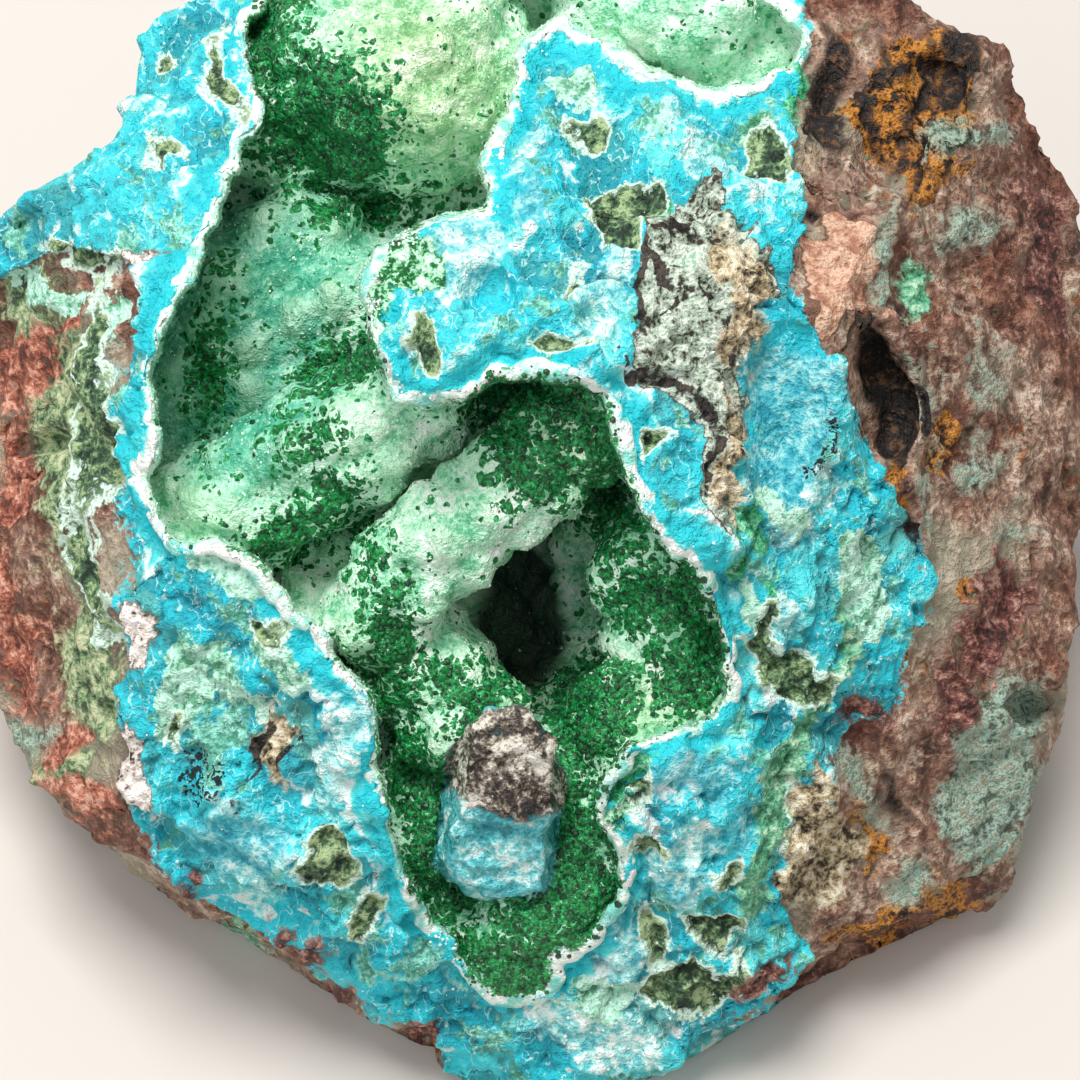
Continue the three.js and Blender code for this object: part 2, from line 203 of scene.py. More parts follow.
def chip_facets(main):
    """Small facets on a golden spiral, each turned a little from the main facet that it is on."""
    i = np.arange(CHIPS)
    height = 1 - 2 * (i + 0.5) / CHIPS
    turn = math.pi * (3 - math.sqrt(5)) * i
    radius = np.sqrt(1 - height**2)
    toward = np.stack([radius * np.cos(turn), radius * np.sin(turn), height], axis=1)
    at = toward * ((1 - CHIP_DEPTH * (2 * scatter(i) - 1)) / gauge(toward, main, FACET_SHARPNESS))[:, None]
    pull = np.maximum(toward @ main.T, 0)
    pull = (pull / pull.max(axis=1, keepdims=True)) ** (FACET_SHARPNESS - 1)
    normal = pull @ main
    normal /= np.linalg.norm(normal, axis=1, keepdims=True)
    normal += np.stack([(scatter(i + 100 * k) - 0.5) * 2 * CHIP_TILT for k in (1, 2, 3)], axis=1)
    normal /= np.linalg.norm(normal, axis=1, keepdims=True)
    return normal / (normal * at).sum(axis=1, keepdims=True)


main_facets = np.array(FACET_FEET, float)
main_facets /= (main_facets**2).sum(axis=1, keepdims=True)
all_chips = chip_facets(main_facets)
polar = np.linspace(0, math.pi, RADIUS_ROWS)
turn = np.linspace(0, 2 * math.pi, RADIUS_COLUMNS + 1)
radius_map = np.empty((RADIUS_ROWS, RADIUS_COLUMNS + 1), np.float32)
for row in range(RADIUS_ROWS):
    ring = np.stack([np.sin(polar[row]) * np.cos(turn), np.sin(polar[row]) * np.sin(turn),
                     np.full_like(turn, np.cos(polar[row]))], axis=1)
    levels = np.maximum(ring @ all_chips.T, 1e-9)
    levels = np.concatenate([levels, gauge(ring, main_facets, FACET_SHARPNESS)[:, None]], axis=1)
    highest = levels.max(axis=1, keepdims=True)
    total = ((levels / highest) ** CHIP_SHARPNESS).sum(axis=1)
    radius_map[row] = 1 / (highest[:, 0] * total ** (1 / CHIP_SHARPNESS))


def between(table, row, column):
    """Reads a table between its entries: the four nearest, each weighted by how near it is."""
    i = np.minimum(row.astype(int), table.shape[0] - 2)
    j = np.minimum(column.astype(int), table.shape[1] - 2)
    a, b = row - i, column - j
    near = table[i, j] * (1 - b) + table[i, j + 1] * b
    far = table[i + 1, j] * (1 - b) + table[i + 1, j + 1] * b
    return near * (1 - a) + far * a


def radius_toward(face):
    """The rock's radius towards face points, read from the map, and the points' own distance."""
    length = np.maximum(np.linalg.norm(face, axis=-1), 1e-6)
    row = np.arccos(np.clip(face[..., 2] / length, -1, 1)) / math.pi * (RADIUS_ROWS - 1)
    column = (np.arctan2(face[..., 1], face[..., 0]) % (2 * math.pi)) / (2 * math.pi) * RADIUS_COLUMNS
    return between(radius_map, row, column), length


print("radius from", radius_map.min(), "to", radius_map.max(), "mm;", round(time.time() - started, 1), "s")

# %% [markdown]
# ## Outlines on the face
# The hollow's mouth, the edge of the blue mineral and the slabs that stand proud are closed outlines on the
# chart, rounded as a curve through listed points. What the shapes and the finishes need from an outline
# is one number: how far inside or outside of it a spot lies.
# %% Outlines
MOUTH = [
    (-27, 28), (-25, 31.5), (-23, 36), (-24, 41.5), (-23.5, 45), (-21, 48), (-12, 49.5), (-4, 48.5),
    (0.5, 46.5), (6, 48), (13.5, 48.5), (19, 46), (21.5, 42), (20, 38.5), (13.5, 38), (9, 39), (5.5, 41),
    (2.5, 43.5), (-0.5, 42.5), (-2, 38.5), (-4, 34), (-3.5, 30.5), (-4, 27.5), (-7.5, 27), (-11, 25.5),
    (-14, 22.5), (-14, 18.5), (-13.5, 14), (-11.5, 11.5), (-7.5, 12), (-3.5, 13), (0.5, 13.5), (5, 11.5),
    (6.5, 8.5), (7.5, 3.5), (9.5, 0), (13, -2), (15, -5), (15, -10), (15.5, -13), (13.5, -15), (9, -17),
    (6, -19.5), (5, -23), (6.5, -26), (6.5, -29), (4.5, -32), (1.5, -34.5), (-0.5, -37), (-3.5, -37.5),
    (-6.5, -35.5), (-8.5, -32.5), (-10.5, -30), (-11.5, -26.5), (-13, -22.5), (-14, -18.5), (-14, -14),
    (-16, -10.5), (-19, -7.5), (-21.5, -5), (-24, -2), (-27, 0), (-30.5, 0), (-32.5, 2.5), (-32.5, 7.5),
    (-32, 11.5), (-32, 15), (-30.5, 18.5), (-29, 21.5), (-28, 25),
]
BLUE = [
    (21.5, 62), (21.5, 50), (22, 41), (22.5, 36.5), (21.5, 32.5), (22, 27), (22.5, 17.5), (25.5, 16),
    (26, 11.5), (27.5, 7.5), (30.5, 4), (33, -0.5), (32.5, -6), (31, -10), (30, -14), (26.5, -16.5),
    (24.5, -19), (23.5, -23.5), (21.5, -28.5), (21.5, -32), (24, -34.5), (20.5, -37.5), (15, -42), (8.5, -52),
    (-3.5, -53), (-9, -45.5), (-10, -41.5), (-13, -39.5), (-20, -35.5), (-26, -31.5), (-31, -29),
    (-33.5, -26), (-35, -21), (-36, -13.5), (-36, -8.5), (-35, -2.5), (-35.5, 3.5), (-36, 9), (-36, 12),
    (-35, 17.5), (-34.5, 22), (-37.5, 23), (-41.5, 23), (-50, 21.5), (-56, 28.5), (-50, 38), (-42, 44),
    (-40, 62),
]
PLATEAU = [
    (-36, -5), (-33, -0.5), (-29, 1.5), (-24, 0.5), (-18, -6), (-12, -12), (-12, -22), (-10.5, -30),
    (-10.8, -34), (-13, -35.6), (-17, -34), (-20, -30), (-22.5, -27.5), (-26, -25.2), (-30.5, -24.5),
    (-34.5, -20), (-36.3, -13),
]
CREST = [
    (-14.6, 22.5), (-12.5, 25), (-7.5, 27), (-1.5, 28), (4, 30), (9, 28.8), (14.5, 30), (18.8, 26),
    (18.8, 17.5), (16.7, 11.7), (16.7, -1.5), (13.5, -3.5), (7, 2), (5.5, 9), (4, 12.5), (-2, 13), (-8, 12),
    (-13, 13.5),
]
SWELL = [
    (6.5, -21), (12.5, -16.5), (18.5, -16.5), (21.5, -13.5), (25, -9.5), (26, -15), (24, -22), (21.5, -30),
    (16.5, -30), (12.5, -28.5), (9, -25.5),
]


def rounded(outline, steps=5):
    """A closed curve through the points: each stretch blends four neighbours by the Catmull-Rom cubic."""
    p = np.array(outline, float)
    a, b, c, d = [np.roll(p, shift, axis=0)[:, None] for shift in (1, 0, -1, -2)]
    t = (np.arange(steps) / steps)[None, :, None]
    curve = b + 0.5 * t * (c - a + t * (2 * a - 5 * b + 4 * c - d + t * (3 * (b - c) + d - a)))
    return curve.reshape(-1, 2)


def inside_distance(outline, across, up):
    """Distance to the closed outline in mm, positive inside it and negative outside."""
    shape = np.shape(across)
    x, y = np.ravel(across), np.ravel(up)
    nearest = np.full(x.shape, 1e9)
    inside = np.zeros(x.shape, bool)
    corners = rounded(outline)
    for (ax, ay), (bx, by) in zip(corners, np.roll(corners, -1, axis=0)):
        dx, dy = bx - ax, by - ay
        t = np.clip(((x - ax) * dx + (y - ay) * dy) / (dx * dx + dy * dy), 0, 1)
        nearest = np.minimum(nearest, (x - ax - t * dx) ** 2 + (y - ay - t * dy) ** 2)
        crossed = (ay > y) != (by > y)
        if ay != by:
            inside ^= crossed & (x < ax + (y - ay) * dx / dy)
    return (np.sqrt(nearest) * np.where(inside, 1, -1)).reshape(shape)


CHART_STEP = 0.25
CHART_REACH = 64
chart_line = np.arange(-CHART_REACH, CHART_REACH + CHART_STEP, CHART_STEP)
chart_grid = np.meshgrid(chart_line, chart_line, indexing="ij")


def chart_map(values):
    """A reader of a map over the chart."""
    return lambda *place: between(values, *[
        np.clip((along - chart_line[0]) / CHART_STEP, 0, len(chart_line) - 1.001) for along in place])


def wandered(across, up, strength, size, shift=0.0):
    """Chart places moved by layered noise, so that whatever is read there gets a ragged border."""
    flat = np.stack([across, up, np.zeros_like(across)], axis=-1)
    return (across + strength * layered_noise(flat, size, 3, shift),
            up + strength * layered_noise(flat, size, 3, shift + 31.7))


ragged_grid = wandered(*wandered(*chart_grid, 0.8, 4.5), 0.35, 1.3, 4.0)
in_mouth, in_blue, in_plateau, in_crest, in_swell = [
    chart_map(inside_distance(outline, *ragged_grid)) for outline in (MOUTH, BLUE, PLATEAU, CREST, SWELL)
]
print("outlines measured;", round(time.time() - started, 1), "s")

# %% [markdown]
# ## Where the surface stands proud or low
# The blue mineral broke off in slabs, so its surface is in steps of a millimetre or two above the softer host
# rock. The steps add to the radius, with short slopes between, so that the outside stays one closed skin.
# Pits, cracks and the deep brown holes are egg-shaped hollows, which are taken out of the stone later.
# %% Rise of the outside, and pits
HOST_RISE = -1.1
RISE_FADE = (-14, -10)  # behind the face the slabs fade out, between these distances out
SLABS = [  # a slab's reader, how far it stands off the facets, and the width of its edge, in mm
    (in_blue, 0, 0.9), (in_plateau, 1.5, 1.4), (in_crest, 1.2, 1.4), (in_swell, 1, 1.4),
]
PITS = [  # across, up, out, then the radii across, up and out
    (20.8, 10.5, 21, 4.2, 8.5, 5), (-4.5, 21.5, 25, 3.4, 3.8, 5), (5, 19.2, 25, 2.6, 4.2, 4),
    (-25.6, -25.8, 16, 4.6, 4, 4), (12.6, -28.2, 17, 1.6, 3.6, 4), (29, 10.8, 16, 3.2, 6.2, 7.5),
    (31.3, 0.8, 16, 1.5, 3.6, 4), (29.6, 35.5, 10, 4.2, 6.8, 6), (33.2, 38, 5, 3, 4, 5),
    (24.6, 35.5, 11, 1.5, 7, 4), (-27, -33, 11, 7.5, 3.6, 6), (-18.5, -39.5, 9, 8.5, 3.8, 6),
    (-7, -46, 6, 6.5, 3.6, 5), (12, 44, -28, 9, 7, 6), (-44, 8, 2, 5, 1.6, 6), (44, -14, 2, 6, 1.8, 6),
]


def rise_at(across, up, out):
    """How far the outside lies from the facets: the highest slab there, back to host rock behind the face."""
    rise = HOST_RISE
    for inside, height, width in SLABS:
        step = ease(inside(across, up), -width / 2, width / 2)
        rise = np.maximum(rise, HOST_RISE + (height - HOST_RISE) * step)
    return HOST_RISE + (rise - HOST_RISE) * ease(out, *RISE_FADE)


def lump_distance(face, lump):
    """Distance to an ellipsoid, close to its surface: (|p/r| - 1) times the smallest radius."""
    across, up, out, *radii = lump
    centre = from_chart(across, up, out)
    radii = np.array(radii if len(radii) == 3 else radii * 3)
    return (np.linalg.norm((face - centre) / radii, axis=-1) - 1) * radii.min()


def smooth_least(a, b, blend):
    """The lesser of two distances, rounded where they cross by a quarter of the blend."""
    h = np.clip(0.5 + 0.5 * (b - a) / blend, 0, 1)
    return b + (a - b) * h - blend * h * (1 - h)


def outside_field(face, chart):
    """Negative inside the rock's outer skin: |p| less the radius towards p and the rise there."""
    radius, length = radius_toward(face)
    return length - radius - rise_at(*chart, face[..., 2])


print("the slabs stand", [height - HOST_RISE for _, height, _ in SLABS], "mm proud of the host rock")

# %% [markdown]
# ## The hollow
# The hollow is a cavity where the crystals had room to grow. It is described as the space that is left: all
# that lies inside the mouth and above a floor that blends between a few known depths, with a passage under
# the blue bridge. Fingers and knobs of crust then stand in that space, as strings of balls joined smoothly.
# %% Hollow and fingers
FLOOR_SPOTS = np.array([
    (-20, 45, -8), (-12, 49, -5), (-2, 45, -9), (8, 45, -5), (17, 43, -4), (-14, 38, 1), (-5, 36, -10),
    (-20, 37, -8), (-23, 28.5, -14), (-13, 27.5, -12), (-6, 29, -11), (-27, 22, -5), (-20, 20, -3),
    (-31, 12, -3), (-25, 12, -5), (-18, 13, -2), (-11.5, 20, -2), (-29, 4, -4), (-23, 1, -2), (-15, 1.5, 1),
    (-10, 10, -1), (-17, -6, 3), (0, 9, -2), (2, 0, -9), (0, -7, -12), (6, -5, -9), (-6, -5, -2), (11, -7, 1),
    (13, -12, 4), (-12, -12, 2), (5, -14, -2), (9, -15, 5), (-11, -20, 1), (0, -20, 2), (4, -24, 4),
    (-9, -28, 3), (1, -29, 5), (-4, -34, 8),
], float)
FLOOR_REACH = 4.0
BRIDGE_BLEND, FINGER_BLEND, STUMP_BLEND = 1.5, 1.6, 0.6  # how softly the forms run into each other, in mm
TOO_FAR = 3.0  # a string of balls farther away than this isn't measured
UNDER_BRIDGE = (-4, 17, 4, 13, 9, 8)
STRINGS = [  # each string of balls: across, up, out, radius
    [(-30, 0.5, 0, 5), (-25, 3, 2.5, 5.5), (-20, 6, 4.5, 5.8), (-15, 9, 6.5, 5.5), (-10.5, 12.5, 8, 5)],
    [(-13, -5, 7, 4.2), (-9.5, -1, 9, 4.4), (-5, 2.5, 10.5, 4.2), (0, 6, 11.5, 4.1), (4.5, 10, 12.5, 4.3)],
    [(3.5, -5.5, -8, 3.2), (4.5, -1.5, -6, 3.2), (5.5, 3, -3, 3.0)],
    [(-13, -5, 7, 4.5), (-11.5, -8, 4, 4.7), (-9, -12, 4, 5), (-6, -15, 5, 4.8)],
    [(9, -2, 5, 4.5), (11.5, -7, 4, 5.5), (12, -12, 5, 5), (8, -15.5, 5, 5)],
    [(3, -20, 3, 5), (4.5, -26, 5, 4.5), (-1, -33, 6, 4.5)],
    [(-9, -20, 1, 4), (-10, -26, 3, 3.5)],
    [(-25, 20, -7.5, 5.5), (-20, 24, -8.5, 5)],
    [(-16, 19, -5.5, 5)],
    [(-21, 35, -11, 7), (-12, 40, -8, 11.5)],
    [(13, 45, -4, 6), (6, 46, -6, 5)],
]

floor_total = np.zeros_like(chart_grid[0])
floor_weight = np.zeros_like(chart_grid[0])
for spot_across, spot_up, spot_out in FLOOR_SPOTS:
    away = (chart_grid[0] - spot_across) ** 2 + (chart_grid[1] - spot_up) ** 2
    weight = np.exp(-away / (2 * FLOOR_REACH**2)) + 1e-9
    floor_total += weight * spot_out
    floor_weight += weight
floor_at = chart_map(floor_total / floor_weight)


def cavity_field(face, chart, wall, floor):
    """Negative in the cavity: inside the mouth and above the floor, or under the bridge, each moved back."""
    open_part = np.maximum(-in_mouth(*chart) - wall, floor_at(*chart) - face[..., 2] - floor)
    return smooth_least(open_part, lump_distance(face, UNDER_BRIDGE) - floor, BRIDGE_BLEND)


def string_distance(face, balls):
    """Distance to a string of balls: from each segment, less the radius blended along it."""
    centres = [from_chart(*ball[:3]) for ball in balls]
    if min(abs(face[..., 2] - ball[2]).min() - ball[3] for ball in balls) > TOO_FAR:
        return np.full(face.shape[:-1], TOO_FAR)
    best = np.linalg.norm(face - centres[0], axis=-1) - balls[0][3]
    for (a, ball_a), (b, ball_b) in zip(zip(centres, balls), zip(centres[1:], balls[1:])):
        along = b - a
        t = np.clip((face - a) @ along / (along @ along), 0, 1)
        near = np.linalg.norm(face - a - t[..., None] * along, axis=-1)
        best = np.minimum(best, near - ball_a[3] - t * (ball_b[3] - ball_a[3]))
    return best


STUMP_SIDES = [  # the block's sides: a normal across, up and out, and its distance from the stump's middle
    (-1, 0.15, 0.1, 4), (1, -0.12, 0.12, 4), (-0.6, -0.8, 0.12, 6.3), (0.12, -1, 0.1, 6.7),
    (0.8, -0.6, 0.1, 6.2), (0.1, 1, -0.3, 6.4), (0.75, 0.7, -0.2, 5.6), (-0.6, 0.8, -0.2, 6.2),
    (0, -0.62, 0.78, 6.2), (0.05, 0.42, 0.9, 8.6), (0.75, -0.1, 0.66, 6.9), (-0.7, 0.1, 0.7, 7),
]
STUMP_MIDDLE = from_chart(-3.1, -22.4, 11.5)


def stump_field(face):
    """Negative inside the stump, a broken block: the greatest distance beyond any of its sides."""
    field = np.full(face.shape[:-1], -9.0)
    for *normal, distance in STUMP_SIDES:
        normal = np.array(normal) / np.linalg.norm(normal)
        field = np.maximum(field, (face - STUMP_MIDDLE) @ normal - distance)
    return field


def growth_field(face):
    """Negative inside the fingers, knobs and stump that stand in the cavity."""
    field = string_distance(face, STRINGS[0])
    for balls in STRINGS[1:]:
        field = smooth_least(field, string_distance(face, balls), FINGER_BLEND)
    return smooth_least(field, stump_field(face), STUMP_BLEND)


print(sum(len(balls) for balls in STRINGS), "balls in", len(STRINGS), "strings")

# %% [markdown]
# ## From a field to a skin
# A sheet on two parameters can't fold over itself, and this rock does: the cavity runs under the bridge and
# the fingers stand free. So each skin is found where a field in space changes sign. Every grid cell that the
# skin passes through gets one point, at the mean of the places where the cell's edges cross it, and every
# crossed edge gets one four-sided face. Where nobody looks closely, points are gathered in coarser blocks.
# %% Skin from a field
def lines(low, high, step):
    """Grid lines from low to high, one step apart."""
    return np.arange(low, high + step, step)


def sample_field(field, across_line, up_line, out_line):
    """The field at all grid points, one layer of equal `out` at a time."""
    across, up = np.meshgrid(across_line, up_line, indexing="ij")
    volume = np.empty((len(across_line), len(up_line), len(out_line)), np.float32)
    for k, out in enumerate(out_line):
        volume[:, :, k] = field(from_chart(across, up, out), (across, up))
    return volume


def skin_of(volume):
    """Points in grid units, and four-sided faces, of the surface where the volume is 0."""
    inside = volume < 0
    count = sum(inside[tuple(slice(c, n - 1 + c) for c, n in zip(corner, volume.shape))].astype(np.int8)
                for corner in np.ndindex(2, 2, 2))
    cells = np.argwhere((count > 0) & (count < 8))
    number = np.full(count.shape, -1, np.int32)
    number[tuple(cells.T)] = np.arange(len(cells))
    total = np.zeros((len(cells), 3))
    crossings = np.zeros(len(cells))
    for axis in range(3):
        for side in np.ndindex(2, 2):
            start = np.insert(np.array(side), axis, 0)
            end = np.insert(np.array(side), axis, 1)
            f0 = volume[tuple((cells + start).T)]
            f1 = volume[tuple((cells + end).T)]
            hit = (f0 < 0) != (f1 < 0)
            share = np.where(hit, f0 / np.where(hit, f0 - f1, 1), 0)
            total += hit[:, None] * (start + share[:, None] * (end - start))
            crossings += hit
    points = cells + total / crossings[:, None]
    quads = []
    for axis in range(3):
        low = tuple(slice(0, n - 1 if a == axis else n) for a, n in enumerate(volume.shape))
        high = tuple(slice(1 if a == axis else 0, n) for a, n in enumerate(volume.shape))
        edge = np.argwhere(inside[low] != inside[high])
        leaving = inside[low][tuple(edge.T)]
        b, c = (axis + 1) % 3, (axis + 2) % 3
        ring = []
        for db, dc in ((-1, -1), (0, -1), (0, 0), (-1, 0)):
            cell = edge.copy()
            cell[:, b] += db
            cell[:, c] += dc
            ring.append(number[tuple(cell.T)])
        quad = np.stack(ring, axis=1)
        quads.append(np.where(leaving[:, None], quad, quad[:, ::-1]))
    return cells, points, np.concatenate(quads)


def halved(quads):
    """Two triangles for each four-sided face."""
    return np.concatenate([quads[:, [0, 1, 2]], quads[:, [0, 2, 3]]])


def gather_blocks(cells, points, quads, block):
    """Merges the points of each block of cells, `block` cells wide there, and drops the faces that vanish."""
    key = np.column_stack([cells // block[:, None], block])
    _, group = np.unique(key, axis=0, return_inverse=True)
    group = group.ravel()
    size = np.bincount(group)
    merged = np.stack([np.bincount(group, points[:, a]) / size for a in range(3)], axis=1)
    triangles = halved(group[quads])
    whole = (triangles != np.roll(triangles, 1, axis=1)).all(axis=1)
    return merged, triangles[whole]


def grid_to_face(points, across_line, up_line, out_line):
    """Grid units to face millimetres, by reading each grid line between its marks."""
    marks = [np.interp(points[:, a], np.arange(len(line)), line)
             for a, line in enumerate((across_line, up_line, out_line))]
    return from_chart(*marks)


def point_sums(vectors, triangles, count):
    """Each point's sum of its triangles' vectors, made one long."""
    total = np.stack([sum(np.bincount(triangles[:, k], vectors[:, axis], count) for k in range(3))
                      for axis in range(3)], axis=1)
    return total / np.maximum(np.linalg.norm(total, axis=1, keepdims=True), 1e-9)


def facing(points, triangles):
    """Unit normals of the points: the sum of their triangles' cross products, made one long."""
    a, b, c = [points[triangles[:, k]] for k in range(3)]
    return point_sums(np.cross(b - a, c - a), triangles, len(points))


def steadied(normals, triangles, rounds=2):
    """Normals averaged over their neighbours, so that no point is moved against the ones beside it."""
    for _ in range(rounds):
        normals = point_sums(normals[triangles].sum(axis=1), triangles, len(normals))
    return normals


def skin(name, field, grid_lines, block_widths):
    """A field's skin, gathered in blocks as wide as `block_widths` says: face points and triangles."""
    volume = sample_field(field, *grid_lines)
    cells, points, quads = skin_of(volume)
    face = grid_to_face(points, *grid_lines)
    normals = facing(face, halved(quads))
    merged, triangles = gather_blocks(cells, points, quads, block_widths(face, chart_of(face), normals))
    print(name, "grid", volume.shape, "gives", len(points), "points, gathered to", len(merged), "points and",
          len(triangles), "triangles;", round(time.time() - started, 1), "s")
    return grid_to_face(merged, *grid_lines), triangles


def mesh_object(name, face_points, triangles, marks):
    """A mesh object at the origin, in metres, with one number per point for each named mark."""
    mesh = bpy.data.meshes.new(name)
    mesh.vertices.add(len(face_points))
    mesh.vertices.foreach_set("co", (to_part(face_points) * MM).astype(np.float32).ravel())
    mesh.loops.add(3 * len(triangles))
    mesh.loops.foreach_set("vertex_index", triangles.astype(np.int32).ravel())
    mesh.polygons.add(len(triangles))
    mesh.polygons.foreach_set("loop_start", np.arange(0, 3 * len(triangles), 3, dtype=np.int32))
    mesh.update(calc_edges=True)
    mesh.polygons.foreach_set("use_smooth", np.ones(len(triangles), bool))
    for mark, values in marks.items():
        attribute = mesh.attributes.new(mark, "FLOAT", "POINT")
        attribute.data.foreach_set("value", np.asarray(values, np.float32))
    mesh.validate()
    piece = bpy.data.objects.new(name, mesh)
    bpy.context.collection.objects.link(piece)
    return piece


print("ready to make skins")

# %% [markdown]
# ## The rock's skin
# The rock is one stone, so it is one piece: its outside, the pits in it and the cavity's bed that the crust
# lies on. The face that shows most is sampled every 0.4 mm, and the far sides are gathered in blocks of
# three cells, because they are broad and plain.
# %% Rock skin
ROCK_STEP = 0.4
CAVITY_BACK = -16  # nothing of the cavity lies farther back than this
PIT_BLEND = 0.8
PIT_ROUGHNESS = 0.8
FAR_OUT = 46  # on the chart, in mm; beyond it the sides are broad and plain
BED = (0.2, 2.6)  # how far the stone lies behind the open space, in mm: at its walls, and at its floor
rock_lines = (lines(-55, 56, ROCK_STEP), lines(-56, 56, ROCK_STEP), lines(-42, 28, ROCK_STEP))


def base_height(face):
    """Height over the base, from the middle of the rock."""
    return MIDDLE[2] + face[..., 1] * math.sin(LEAN) + face[..., 2] * math.cos(LEAN)


def notch_field(face):
    """Negative in the corner missing from the top left, between two broken planes."""
    over = 46.6 - (-0.51 * face[..., 0] + 0.86 * face[..., 1])
    beside = 34 + face[..., 0]
    return np.maximum(over, beside)


def rock_field(face, chart):
    """Negative in the stone: inside the skin and above the base, outside the notch, cavity and pits."""
    field = np.maximum(outside_field(face, chart), -notch_field(face))
    if face[0, 0, 2] > CAVITY_BACK:
        field = np.maximum(field, -cavity_field(face, chart, *BED))
    pits = np.full(field.shape, 9.0)
    for pit in PITS:
        if abs(face[0, 0, 2] - pit[2]) < pit[5] + 2:
            pits = np.minimum(pits, lump_distance(face, pit))
    near = pits < 2.0
    pits[near] += PIT_ROUGHNESS * layered_noise(face[near], 4.0, 3, 21.0)
    field = -smooth_least(-field, pits, PIT_BLEND)
    return np.maximum(field, -base_height(face))


def rock_blocks(face, chart, normals):
    """Widths in cells: 1 in front, 2 on slopes, 3 behind and far out, and 5 in the bed under the crust."""
    width = np.where(normals[:, 2] < 0.3, 2, 1)
    far_out = np.maximum(np.abs(chart[0]), np.abs(chart[1])) > FAR_OUT
    width = np.where((normals[:, 2] < 0.05) | far_out, 3, width)
    bed = (in_mouth(*chart) > 0) & (cavity_field(face, chart, *BED) > -0.5)
    return np.where(bed & (outside_field(face, chart) < -3), 5, width)


rock_face, rock_triangles = skin("rock", rock_field, rock_lines, rock_blocks)

